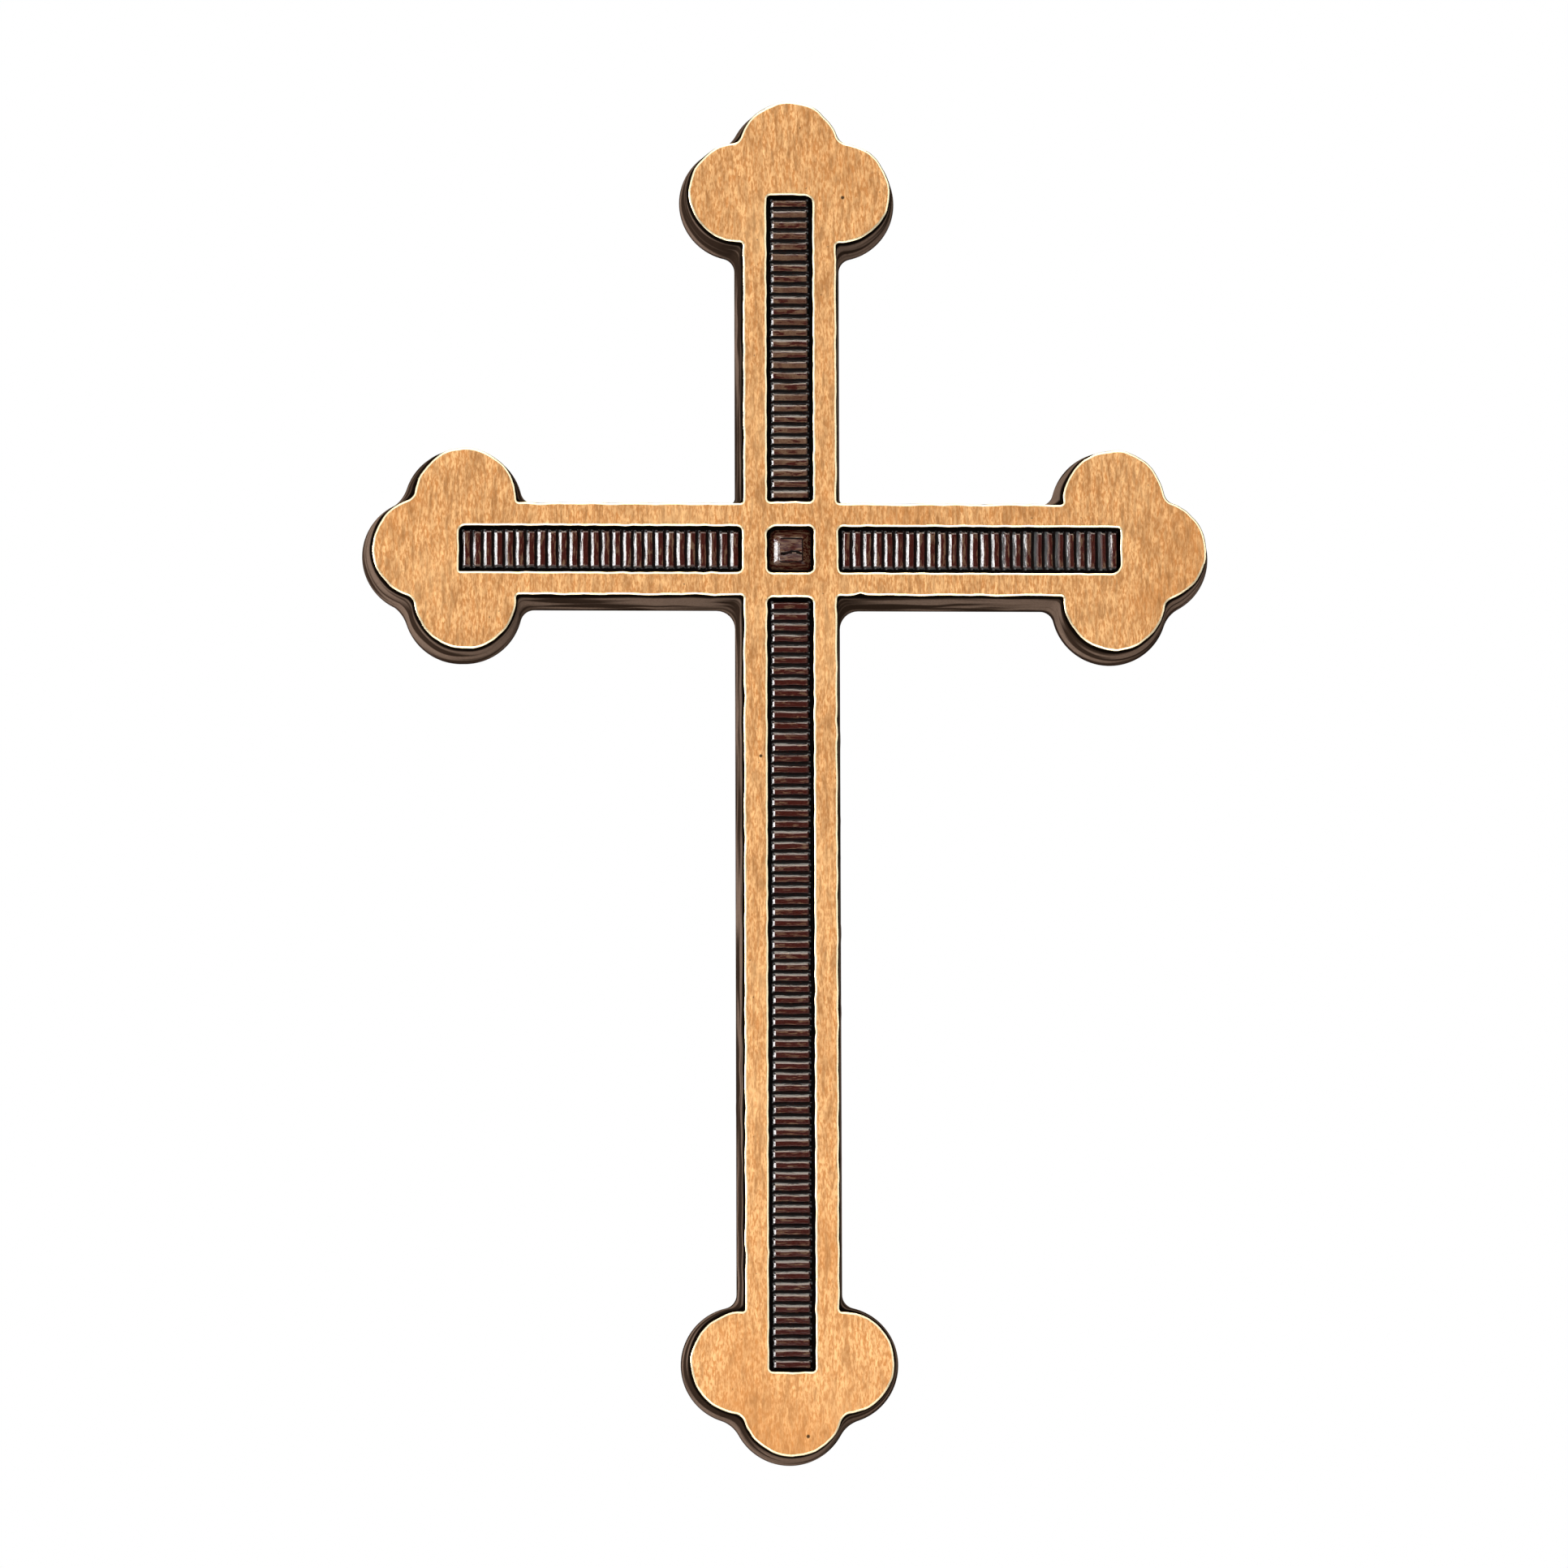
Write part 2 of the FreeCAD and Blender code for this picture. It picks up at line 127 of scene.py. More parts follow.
class Arm:
    """One arm: its turn from upright, the reach to its side lobes and the pocket and stud that it carries."""

    def __init__(self, name, turn, reach, half_width, root_half_width,
                 root_corners, corner_radii, webs, rivets):
        self.name = name
        self.turn = turn
        self.on_shaft = turn in (0, 180)
        self.reach = reach
        self.half_width = half_width
        self.root_half_width = root_half_width
        self.root_corners = root_corners
        self.corner_radii = corner_radii
        self.lit_side = 1 if turn in (0, 270) else -1  # ribs slope gently towards the top or the left
        self.webs = webs
        self.rivets = rivets
        low, high = (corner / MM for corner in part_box(name + "_inlay"))
        ends = sorted(abs(v) for v in ((low.z, high.z) if self.on_shaft else (low.x, high.x)))
        self.pocket = (ends[0] - FLANGE_GAP, ends[1] + FLANGE_GAP)
        stud_low, stud_high = (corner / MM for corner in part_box(name + "_stud"))
        self.stud_radius = (stud_high.x - stud_low.x) / 2
        self.stud_span = (stud_low.y, stud_high.y)
        centre = (stud_low + stud_high) / 2
        self.stud_station = math.hypot(centre.x, centre.z)
        nut_low, nut_high = (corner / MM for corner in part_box(name + "_lock_nut"))
        self.nut_span = (nut_low.y, nut_high.y)
        self.nut_flats = min(nut_high.x - nut_low.x, nut_high.z - nut_low.z)

    def outline(self, offset, share, inset):
        """The arm's left side, bud and right side, then the corner into the next arm.

        share is how far the hollow corners have grown from their size at the face to that at the back.
        """
        shaft_offset = offset * SHAFT_DRAFT_SHARE if offset > 0 else offset
        own_offset, root_offset = (shaft_offset, offset) if self.on_shaft else (offset, shaft_offset)
        half_width = self.half_width + own_offset
        corner = FACE_CORNER + (BACK_CORNER - FACE_CORNER) * share + inset
        cusp_radius = FACE_CUSP + (BACK_CUSP - FACE_CUSP) * share + inset
        left_root, right_root = (FACE_CORNER + (back - FACE_CORNER) * share + inset
                                 for back in self.root_corners)
        lobe = LOBE_RADIUS + offset
        side_lobe = (-SIDE_LOBE_OFFSET, self.reach)
        end_lobe = (0.0, self.reach + END_LOBE_OFFSET)
        neck_x = -(half_width + corner)
        neck = (neck_x, self.reach - math.sqrt((lobe + corner) ** 2 - (neck_x - side_lobe[0]) ** 2))
        to_lobe = math.atan2(side_lobe[1] - neck[1], side_lobe[0] - neck[0])
        gap = math.hypot(SIDE_LOBE_OFFSET, END_LOBE_OFFSET)
        out = math.sqrt((lobe + cusp_radius) ** 2 - (gap / 2) ** 2)
        cusp = (side_lobe[0] / 2 - END_LOBE_OFFSET / gap * out,
                self.reach + END_LOBE_OFFSET / 2 + SIDE_LOBE_OFFSET / gap * out)
        to_cusp = math.atan2(cusp[1] - side_lobe[1], cusp[0] - side_lobe[0])
        to_end = math.atan2(end_lobe[1] - cusp[1], end_lobe[0] - cusp[0])
        steps = round((self.reach - self.root_half_width) / OUTLINE_STEP)

        def side(root):
            low_end = self.root_half_width + root_offset + root
            along = np.linspace(low_end, neck[1], steps + 1)[:-1]
            return np.column_stack([np.full(steps, -half_width), along])

        bud = np.vstack([
            arc(neck, corner, 0.0, to_lobe, CORNER_STEPS)[:-1],
            arc(side_lobe, lobe, to_lobe + math.pi, to_cusp, LOBE_STEPS)[:-1],
            arc(cusp, cusp_radius, to_cusp - math.pi, to_end, CORNER_STEPS)[:-1],
            arc(end_lobe, lobe, to_end + math.pi, math.pi / 2, CAP_STEPS),
        ])
        mirrored = np.vstack([side(right_root), bud])[-2::-1] * (-1.0, 1.0)
        root_centre = (half_width + right_root, self.root_half_width + root_offset + right_root)
        root_corner = arc(root_centre, right_root, math.pi, math.pi * 1.5, CORNER_STEPS)
        return turned(np.vstack([side(left_root), bud, mirrored, root_corner[1:-1]]), self.turn)


UPPER_CORNER = 0.9  # back radius of the hollow corners above and below the crossbar
LOWER_CORNER = 2.7
UPPER_STRETCH = 0.35  # the upper bud stands this much further out than in the frame

# corner_radii: of each corner of the arm's pocket. webs and rivets: distances from the crossing.
ARMS = [
    Arm("upper", 0, body_high.z - BUD_LENGTH + UPPER_STRETCH, SHAFT_HALF_WIDTH, CROSSBAR_HALF_WIDTH,
        root_corners=(UPPER_CORNER, UPPER_CORNER), corner_radii=(0.55, 1.15, 0.7, 0.6),
        webs=[30.0], rivets=[18.0, 42.0]),
    Arm("right", 90, body_high.x - BUD_LENGTH, CROSSBAR_HALF_WIDTH, SHAFT_HALF_WIDTH,
        root_corners=(UPPER_CORNER, LOWER_CORNER), corner_radii=(0.45, 1.4, 0.6, 0.7),
        webs=[28.0], rivets=[17.0, 39.0]),
    Arm("lower", 180, -body_low.z - BUD_LENGTH, SHAFT_HALF_WIDTH, CROSSBAR_HALF_WIDTH,
        root_corners=(LOWER_CORNER, LOWER_CORNER), corner_radii=(0.75, 0.65, 0.9, 0.95),
        webs=[36.0, 64.0, 92.0], rivets=[20.0, 50.0, 78.0, 106.0]),
    Arm("left", 270, -body_low.x - BUD_LENGTH, CROSSBAR_HALF_WIDTH, SHAFT_HALF_WIDTH,
        root_corners=(LOWER_CORNER, UPPER_CORNER), corner_radii=(0.3, 1.0, 0.75, 0.9),
        webs=[28.0], rivets=[17.0, 39.0]),
]
LEFT_ARM = ARMS[3]


def cross_outline(offset, share=0.0, inset=0.0):
    """Closed outline (x, z), clockwise as the viewer sees it, with as many points at every offset."""
    return np.vstack([arm.outline(offset, share, inset) for arm in ARMS])


def rounded_rectangle(half_width, low, high, radii, grow=0.0):
    """Closed outline, clockwise from the top left corner, with a radius for each corner."""
    middle = (low + high) / 2
    centres = [(-1, 1, 180), (1, 1, 90), (1, -1, 0), (-1, -1, -90)]
    parts = []
    for index, ((sign_x, sign_z, start), radius) in enumerate(zip(centres, radii)):
        half_height = (high - low) / 2
        centre = (sign_x * (half_width - radius), middle + sign_z * (half_height - radius))
        start = math.radians(start)
        corner = arc(centre, radius + grow, start, start - math.pi / 2, CORNER_STEPS)
        length = 2 * (half_height if index % 2 else half_width)
        steps = max(2, round(length / OUTLINE_STEP))
        parts.append((corner, steps))
    points = []
    for index, (corner, steps) in enumerate(parts):
        after = parts[(index + 1) % len(parts)][0][0]
        points.append(corner[:-1])
        points.append(np.linspace(corner[-1], after, steps + 1)[:-1])
    return np.vstack(points)


def ripple(points, seed, amplitude, wavelength):
    """Smooth random wave, in millimetres, that closes on itself along a closed outline."""
    steps = np.linalg.norm(np.roll(points, -1, axis=0) - points, axis=1)
    along = np.concatenate([[0.0], np.cumsum(steps)[:-1]]) / steps.sum()
    random = np.random.default_rng(seed)
    wave = np.zeros(len(points))
    for _ in range(WAVES):
        cycles = max(1, round(steps.sum() / wavelength * random.uniform(0.5, 1.7)))
        wave += np.sin(2 * math.pi * (cycles * along + random.uniform(0, 1)))
    return wave * amplitude / math.sqrt(WAVES)


def inside(point, loop):
    """Whether a flat point lies within a closed loop, by counting the crossings to its right."""
    after = np.roll(loop, -1, axis=0)
    spans = (loop[:, 1] > point[1]) != (after[:, 1] > point[1])
    start, end = loop[spans], after[spans]
    crossings = start[:, 0] + (point[1] - start[:, 1]) / (end[:, 1] - start[:, 1]) * (end[:, 0] - start[:, 0])
    return np.count_nonzero(crossings > point[0]) % 2 == 1


# ---- meshes ----

def placed(name, data):
    """A new object in the scene."""
    thing = bpy.data.objects.new(name, data)
    bpy.context.scene.collection.objects.link(thing)
    return thing


class Shell:
    """A mesh under construction: points in millimetres, faces, and a look number for each face."""

    def __init__(self):
        self.points = []
        self.faces = []
        self.looks = []
        self.flat = []

    def ring(self, flat_points, y):
        """Adds (x, z) points in the plane at y, or at a height for each, and returns their numbers."""
        heights = np.broadcast_to(y, len(flat_points))
        return self.add(np.column_stack([flat_points[:, 0], heights, flat_points[:, 1]]))

    def add(self, points):
        first = len(self.points)
        self.points.extend(map(tuple, points))
        return list(range(first, len(self.points)))

    def face(self, corners, look, flat=False):
        self.faces.append(tuple(corners))
        self.looks.append(look)
        self.flat.append(flat)

    def bridge(self, ring_a, ring_b, look):
        count = len(ring_a)
        for i in range(count):
            j = (i + 1) % count
            self.face((ring_a[i], ring_a[j], ring_b[j], ring_b[i]), look)

    def stack(self, rings, look):
        for ring_a, ring_b in zip(rings, rings[1:]):
            self.bridge(ring_a, ring_b, look)

    def tube(self, rings, look):
        """A stack of rings, closed by a flat cap at each end."""
        self.stack(rings, look)
        self.face(rings[0][::-1], look, flat=True)
        self.face(rings[-1], look, flat=True)

    def fill(self, outer, holes, y, look, spacing=None, dish=None):
        """Filling between a ring and the rings inside it, on a grid of inner points if spacing is given.

        dish(x, z), if given, is how far each inner point lies behind the plane at y.
        """
        loops = [outer] + holes
        rim = [number for loop in loops for number in loop]
        flat = [Vector((self.points[n][0], self.points[n][2])) for n in rim]
        edges = []
        start = 0
        for loop in loops:
            size = len(loop)
            edges += [(start + i, start + (i + 1) % size) for i in range(size)]
            start += size
        flat += self.inner_points(flat, spacing)
        spots, _, triangles, origins, _, _ = delaunay_2d_cdt(flat, edges, [], 1, 1e-6)
        gaps = [np.array([(self.points[n][0], self.points[n][2]) for n in loop]) for loop in holes]
        numbers = {}
        for triangle in triangles:
            centre = np.mean([spots[v] for v in triangle], axis=0)
            if any(inside(centre, gap) for gap in gaps):
                continue
            corners = []
            for v in triangle:
                source = origins[v][0]
                if source < len(rim):
                    corners.append(rim[source])
                    continue
                if v not in numbers:
                    x, z = spots[v]
                    numbers[v] = self.add([(x, y + (dish(x, z) if dish else 0.0), z)])[0]
                corners.append(numbers[v])
            self.face(corners, look, flat=dish is None)

    @staticmethod
    def inner_points(flat, spacing):
        """A staggered grid within the box of the given points, clear of them all and of the box's sides."""
        if spacing is None:
            return []
        tree = KDTree(len(flat))
        for i, point in enumerate(flat):
            tree.insert((point.x, point.y, 0.0), i)
        tree.balance()
        spots = np.array(flat)
        low, high = spots.min(0), spots.max(0)
        inner = []
        margin = spacing / 4
        for row, z in enumerate(np.arange(low[1] + margin, high[1] - margin, spacing)):
            shift = spacing / 2 * (row % 2)
            for x in np.arange(low[0] + margin + shift, high[0] - margin, spacing):
                if tree.find((x, z, 0.0))[2] > spacing * 0.6:
                    inner.append(Vector((x, z)))
        return inner

    def build(self, name, looks, slot, nodes=(), turn=0):
        """Makes the piece: closed, outward facing, turned to its arm, and riding the one body."""
        points = np.array(self.points)
        flat = turned(points[:, [0, 2]], turn)
        mesh = bpy.data.meshes.new(name)
        rows = np.column_stack([flat[:, 0], points[:, 1], flat[:, 1]]) * MM
        mesh.from_pydata([tuple(row) for row in rows], [], self.faces)
        mesh.polygons.foreach_set("material_index", self.looks)
        mesh.polygons.foreach_set("use_smooth", [not f for f in self.flat])
        for look in looks:
            mesh.materials.append(look)
        tidy = bmesh.new()
        tidy.from_mesh(mesh)
        bmesh.ops.recalc_face_normals(tidy, faces=tidy.faces)
        tidy.to_mesh(mesh)
        tidy.free()
        mesh.update()
        piece = placed(name, mesh)
        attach(piece, "root")
        if nodes:
            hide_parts(*nodes)
        return piece


# ---- materials ----

class Look:
    """A procedural material: a Principled shader and short helpers for the nodes that drive it."""

    def __init__(self, name):
        self.material = bpy.data.materials.new(name)
        self.material.use_nodes = True
        self.tree = self.material.node_tree
        self.shader = self.tree.nodes["Principled BSDF"]
        coordinates = self.node("ShaderNodeTexCoord")
        self.place = coordinates.outputs["Object"]
        self.facing = coordinates.outputs["Normal"]
        self.split = self.node("ShaderNodeSeparateXYZ", Vector=self.place)

    def node(self, kind, **inputs):
        made = self.tree.nodes.new(kind)
        for key, value in inputs.items():
            self.feed(made.inputs[key], value)
        return made

    def feed(self, socket, value):
        if isinstance(value, bpy.types.NodeSocket):
            self.tree.links.new(value, socket)
        else:
            socket.default_value = value

    def noise(self, size, detail=2.0, roughness=0.5, warp=0.0):
        """Noise from 0 to 1 whose grains are size millimetres: one number, or one for each axis."""
        sizes = size if hasattr(size, "__len__") else (size,) * 3
        spread = self.node("ShaderNodeVectorMath")
        spread.operation = "MULTIPLY"
        self.feed(spread.inputs[0], self.place)
        spread.inputs[1].default_value = [1.0 / (s * MM) for s in sizes]
        grains = self.node("ShaderNodeTexNoise", Scale=1.0, Detail=detail, Roughness=roughness,
                           Distortion=warp, Vector=spread.outputs[0])
        return grains.outputs["Fac"]

    def math(self, operation, a, b=0.0):
        made = self.node("ShaderNodeMath")
        made.operation = operation
        self.feed(made.inputs[0], a)
        self.feed(made.inputs[1], b)
        return made.outputs[0]

    def spread(self, value, low, high, to_low=0.0, to_high=1.0):
        """Maps low..high smoothly to to_low..to_high."""
        made = self.node("ShaderNodeMapRange")
        made.interpolation_type = "SMOOTHSTEP"
        keys = ("Value", "From Min", "From Max", "To Min", "To Max")
        for key, given in zip(keys, (value, low, high, to_low, to_high)):
            self.feed(made.inputs[key], given)
        return made.outputs["Result"]

    def mix(self, share, a, b):
        made = self.node("ShaderNodeMix")
        made.data_type = "RGBA"
        self.feed(made.inputs["Factor"], share)
        for socket, colour in zip((made.inputs[6], made.inputs[7]), (a, b)):
            self.feed(socket, colour if isinstance(colour, bpy.types.NodeSocket) else (*colour, 1.0))
        return made.outputs[2]

    def spot(self, x, z, core, radius, strength):
        """Soft spot on the face, in millimetres: full strength out to core and nothing beyond radius."""
        made = self.node("ShaderNodeVectorMath")
        made.operation = "DISTANCE"
        self.feed(made.inputs[0], self.place)
        made.inputs[1].default_value = (x * MM, FACE_Y * MM, z * MM)
        return self.spread(made.outputs["Value"], core * MM, radius * MM, strength, 0.0)

    def depth(self, y):
        """Millimetres behind the plane at y."""
        return self.math("SUBTRACT", self.math("MULTIPLY", self.split.outputs["Y"], 1.0 / MM), y)

    def bump(self, height, distance, strength=1.0, under=None):
        """Bump whose full height is distance millimetres."""
        made = self.node("ShaderNodeBump", Strength=strength, Distance=distance * MM, Height=height)
        if under is not None:
            self.feed(made.inputs["Normal"], under)
        return made.outputs["Normal"]

    def finish(self, colour, roughness, normal=None, metallic=1.0, **fixed):
        self.feed(self.shader.inputs["Base Color"], colour)
        self.feed(self.shader.inputs["Roughness"], roughness)
        self.feed(self.shader.inputs["Metallic"], metallic)
        if normal is not None:
            self.feed(self.shader.inputs["Normal"], normal)
        for key, value in fixed.items():
            self.shader.inputs[key.replace("_", " ")].default_value = value
        return self.material


GOLD = (0.735, 0.355, 0.134)
GOLD_DEEP = (0.51, 0.214, 0.064)
GOLD_PALE = (0.84, 0.52, 0.242)
# paler than the face: worn bare edge with a painted highlight
WORN_EDGE_PAINTED_HIGHLIGHT = (0.66, 0.56, 0.37)
GOLD_TARNISH = (0.52, 0.220, 0.066)
GOLD_DULL = (0.36, 0.19, 0.080)
PATINA = (0.020, 0.012, 0.008)
PATINA_DARK = (0.012, 0.007, 0.005)
# painted shade beside the face and down the pockets
PAINTED_SHADE_BLACK = (0.0025, 0.0015, 0.001)
PATINA_PALE = (0.112, 0.076, 0.057)
OXBLOOD = (0.025, 0.0034, 0.0018)
OXBLOOD_PALE = (0.078, 0.044, 0.026)
GROOVE = (0.001, 0.0006, 0.0005)
STEEL = (0.50, 0.49, 0.47)
STEEL_DARK = (0.40, 0.39, 0.37)
SAND_BROWN = (0.13, 0.085, 0.05)
SAND_PALE = (0.25, 0.165, 0.085)
SAND_GREEN = (0.09, 0.13, 0.09)

PIN_HOLES = [(-4.4, -30.3, 0.30), (2.2, -129.0, 0.34), (7.8, 52.0, 0.34)]  # casting flaws: x, z and radius
DARKEN_FROM = 0.013  # metres inside the foot and the right end where the face starts to grow darker,
DARKEN_FULL = 0.001  # and where it is darkest
# painted highlight: a soft pale spot on the face above the centre
PAINTED_HIGHLIGHT_PATCH = {"x": -2.0, "z": 48.0, "core": 1.0, "radius": 7.0, "strength": 0.35}


def brushed_face():
    """Bronze ground up and down: short vertical scratches over slow changes of tone."""
    look = Look("brushed_bronze")
    scratch = look.noise((0.24, 0.24, 0.75), detail=2.0, roughness=0.6)
    streak = look.noise((0.6, 0.6, 3.0), detail=3.0, roughness=0.6)
    cloud = look.noise((13.0, 13.0, 17.0), detail=3.0, roughness=0.5)
    stain = look.noise(5.0, detail=4.0, roughness=0.65, warp=0.3)
    pit = look.noise(0.45, detail=0.0)
    colour = look.mix(look.spread(scratch, 0.34, 0.66), GOLD_DEEP, GOLD_PALE)
    colour = look.mix(look.spread(streak, 0.35, 0.65, 0.5, 0.1), colour, GOLD)
    colour = look.mix(look.spread(streak, 0.30, 0.46, 0.4, 0.0), colour, GOLD_DEEP)
    colour = look.mix(look.spread(cloud, 0.52, 0.75, 0.0, 0.45), colour, GOLD_TARNISH)
    colour = look.mix(look.spread(cloud, 0.25, 0.48, 0.35, 0.0), colour, GOLD_PALE)
    colour = look.mix(look.spread(stain, 0.66, 0.80, 0.0, 0.35), colour, GOLD_TARNISH)
    # the face grows darker towards the foot and the right end
    darker_low = look.spread(look.split.outputs["Z"], cad_low.z + DARKEN_FULL,
                          cad_low.z + DARKEN_FROM, 0.6, 0.0)
    darker_right = look.spread(look.split.outputs["X"], cad_high.x - DARKEN_FROM,
                            cad_high.x - DARKEN_FULL, 0.0, 0.4)
    colour = look.mix(look.math("MAXIMUM", darker_low, darker_right), colour, GOLD_TARNISH)
    # painted highlight: paler gold in a soft spot above the centre
    colour = look.mix(look.spot(**PAINTED_HIGHLIGHT_PATCH), colour, GOLD_PALE)
    colour = look.mix(look.spread(pit, 0.84, 0.87, 0.0, 0.8), colour, PATINA_DARK)
    for x, z, radius in PIN_HOLES:
        colour = look.mix(look.spot(x, z, radius * 0.5, radius, 0.9), colour, PATINA_DARK)
    roughness = look.spread(streak, 0.25, 0.75, 0.38, 0.52)
    normal = look.bump(streak, 0.02)
    normal = look.bump(scratch, 0.02, under=normal)
    return look.finish(colour, roughness, normal)


def cast_skin():
    """Brown patina on the drafted sides, painted shade in black beside the face and down the pockets, and
    worn to bright metal at the edge, its paler colour a painted highlight.
    """
    look = Look("patinated_casting")
    grain = look.noise(0.28, detail=4.0, roughness=0.6)
    blotch = look.noise(2.6, detail=3.0, roughness=0.6)
    band = look.noise((16.0, 2.4, 16.0), detail=1.0, roughness=0.5, warp=0.1)
    depth = look.depth(FACE_Y)
    colour = look.mix(look.spread(band, 0.40, 0.58), PATINA, PATINA_PALE)
    colour = look.mix(look.spread(grain, 0.45, 0.75, 0.0, 0.4), colour, PATINA_DARK)
    colour = look.mix(look.spread(look.depth(RIM_Y), -1.3, -0.5, 0.0, 0.75), colour, PATINA_DARK)
    # painted shade: black down the pocket walls and in a band along the sides next to the face, reaching
    # deeper on sides that face up
    upward = look.node("ShaderNodeSeparateXYZ", Vector=look.facing).outputs["Z"]
    shade_reach = look.math("MULTIPLY", depth, look.spread(upward, -1.0, 1.0, 1.35, 0.55))
    near_face = look.spread(shade_reach, 1.7, 3.3, 1.0, 0.0)
    colour = look.mix(near_face, colour, PAINTED_SHADE_BLACK)
    frayed = look.math("ADD", depth, look.spread(blotch, 0.2, 0.8, -0.012, 0.012))
    wear = look.spread(frayed, CHAMFER_DEPTH - 0.012, CHAMFER_DEPTH + 0.008, 1.0, 0.0)
    # worn bare edge, painted a paler cream than the face as a painted highlight
    colour = look.mix(wear, colour, WORN_EDGE_PAINTED_HIGHLIGHT)
    rubbed = look.spread(look.depth(RIM_Y), -0.22, -0.05)
    rubbed = look.math("MULTIPLY", rubbed, look.spread(blotch, 0.25, 0.75, 0.25, 0.6))
    colour = look.mix(rubbed, colour, GOLD_DULL)
    bare = look.math("MAXIMUM", wear, rubbed)
    roughness = look.spread(bare, 0.0, 1.0, 0.62, 0.24)
    normal = look.bump(blotch, 0.06, 0.6)
    normal = look.bump(grain, 0.02, 0.8, under=normal)
    return look.finish(colour, roughness, normal, bare, Specular_IOR_Level=0.0)


def hollow_skin():
    """As-cast inside of the back: rough, brown, with greener hollows."""
    look = Look("sand_cast_hollow")
    sand = look.noise(0.35, detail=5.0, roughness=0.7)
    blotch = look.noise(5.0, detail=4.0, roughness=0.6, warp=0.4)
    colour = look.mix(look.spread(blotch, 0.3, 0.7), SAND_BROWN, SAND_PALE)
    colour = look.mix(look.spread(sand, 0.5, 0.8, 0.0, 0.6), colour, PATINA_DARK)
    green = look.spread(look.noise(3.1, detail=3.0), 0.6, 0.75, 0.0, 0.35)
    colour = look.mix(green, colour, SAND_GREEN)
    roughness = look.spread(sand, 0.3, 0.7, 0.5, 0.75)
    normal = look.bump(blotch, 0.12, 0.6)
    normal = look.bump(sand, 0.07, 1.0, under=normal)
    return look.finish(colour, roughness, normal, 0.55)


def oxblood_patina(name, crest_y, lump_size, pale_from):
    """Glossy red brown patina in lumps of the given size, almost black down in the grooves.

    pale_from is the lump noise from which the patina is pale: the lower it is, the more of it is pale. Each
    inlay's value also paints light: the upper ribs are painted paler for the light they catch.
    """
    look = Look(name)
    grain = look.noise(0.22, detail=3.0, roughness=0.5)
    lump = look.noise(lump_size, detail=2.0, roughness=0.55)
    blotch = look.noise(1.7, detail=3.0, roughness=0.6)
    depth = look.depth(crest_y)
    colour = look.mix(look.spread(lump, pale_from, pale_from + 0.08), OXBLOOD, OXBLOOD_PALE)
    colour = look.mix(look.spread(blotch, 0.35, 0.6, 0.5, 0.0), colour, OXBLOOD)
    colour = look.mix(look.spread(grain, 0.45, 0.7, 0.0, 0.5), colour, OXBLOOD)
    colour = look.mix(look.spread(depth, 0.04, 0.16), colour, GROOVE)
    roughness = look.spread(grain, 0.3, 0.7, 0.12, 0.24)
    normal = look.bump(blotch, 0.08, 0.5)
    normal = look.bump(lump, 0.05, 0.7, under=normal)
    normal = look.bump(grain, 0.008, 0.7, under=normal)
    return look.finish(colour, roughness, normal, 0.0, IOR=1.45)


def blackened_ground():
    """Matt black left in the recesses between the ribs."""
    look = Look("blackened_ground")
    grain = look.noise(0.2, detail=4.0, roughness=0.6)
    colour = look.mix(look.spread(grain, 0.5, 0.8), GROOVE, OXBLOOD)
    roughness = look.spread(grain, 0.3, 0.7, 0.65, 0.9)
    normal = look.bump(grain, 0.03)
    return look.finish(colour, roughness, normal, 0.0, Specular_IOR_Level=0.06)


def turned_steel(name, pale, dark):
    """Stainless steel with fine turning marks round the stud axis."""
    look = Look(name)
    ring = look.noise((3.0, 0.15, 3.0), detail=1.0)
    smear = look.noise(2.2, detail=3.0)
    colour = look.mix(look.spread(smear, 0.3, 0.7), pale, dark)
    roughness = look.spread(ring, 0.3, 0.7, 0.30, 0.40)
    normal = look.bump(ring, 0.003)
    return look.finish(colour, roughness, normal, 1.0)


FACE = brushed_face()
SKIN = cast_skin()
HOLLOW = hollow_skin()
PLINTH_Y = FACE_Y + 0.56  # ground between the ribs, higher than the flange round them
RIB_HEIGHT = 0.28
UPRIGHT_LUMPS = (0.30, 0.30, 1.6)  # lumps of patina lie along the ribs
LEVEL_LUMPS = (1.6, 0.30, 0.30)
CREST_Y = PLINTH_Y - RIB_HEIGHT
# painted light: the upper ribs get more pale patina than the others, for the light that they catch
BAR_INLAY = oxblood_patina("oxblood_upright_ribs", CREST_Y, UPRIGHT_LUMPS, 0.53)
RIB_LOOKS = {
    "upper": oxblood_patina("oxblood_upper_ribs", CREST_Y, LEVEL_LUMPS, 0.41),
    "right": BAR_INLAY,
    "lower": oxblood_patina("oxblood_lower_ribs", CREST_Y, LEVEL_LUMPS, 0.56),
    "left": BAR_INLAY,
}
BOSS = oxblood_patina("oxblood_boss", FLANGE_TOP_Y, LEVEL_LUMPS, 0.46)
RIVET = oxblood_patina("hammered_rivet", FLOOR_Y - 2.0, 0.6, 0.42)
GROUND = blackened_ground()
STUD = turned_steel("stainless_stud", STEEL, STEEL_DARK)
NUT = turned_steel("stainless_nut", STEEL, STEEL_DARK)

FACE_LOOK, SKIN_LOOK, HOLLOW_LOOK = range(3)  # look numbers of the casting
METAL_LOOK, GROUND_LOOK = range(2)  # and of the inlays and the boss


# ---- the casting ----

NOTCH = (9.9, -CROSSBAR_HALF_WIDTH)  # small bite out of the lower edge of the crossbar
NOTCH_DEPTH = 0.42
NOTCH_SIZE = 0.5
LEFT_LEAN = 0.45  # the left bud leans out this much more than the others


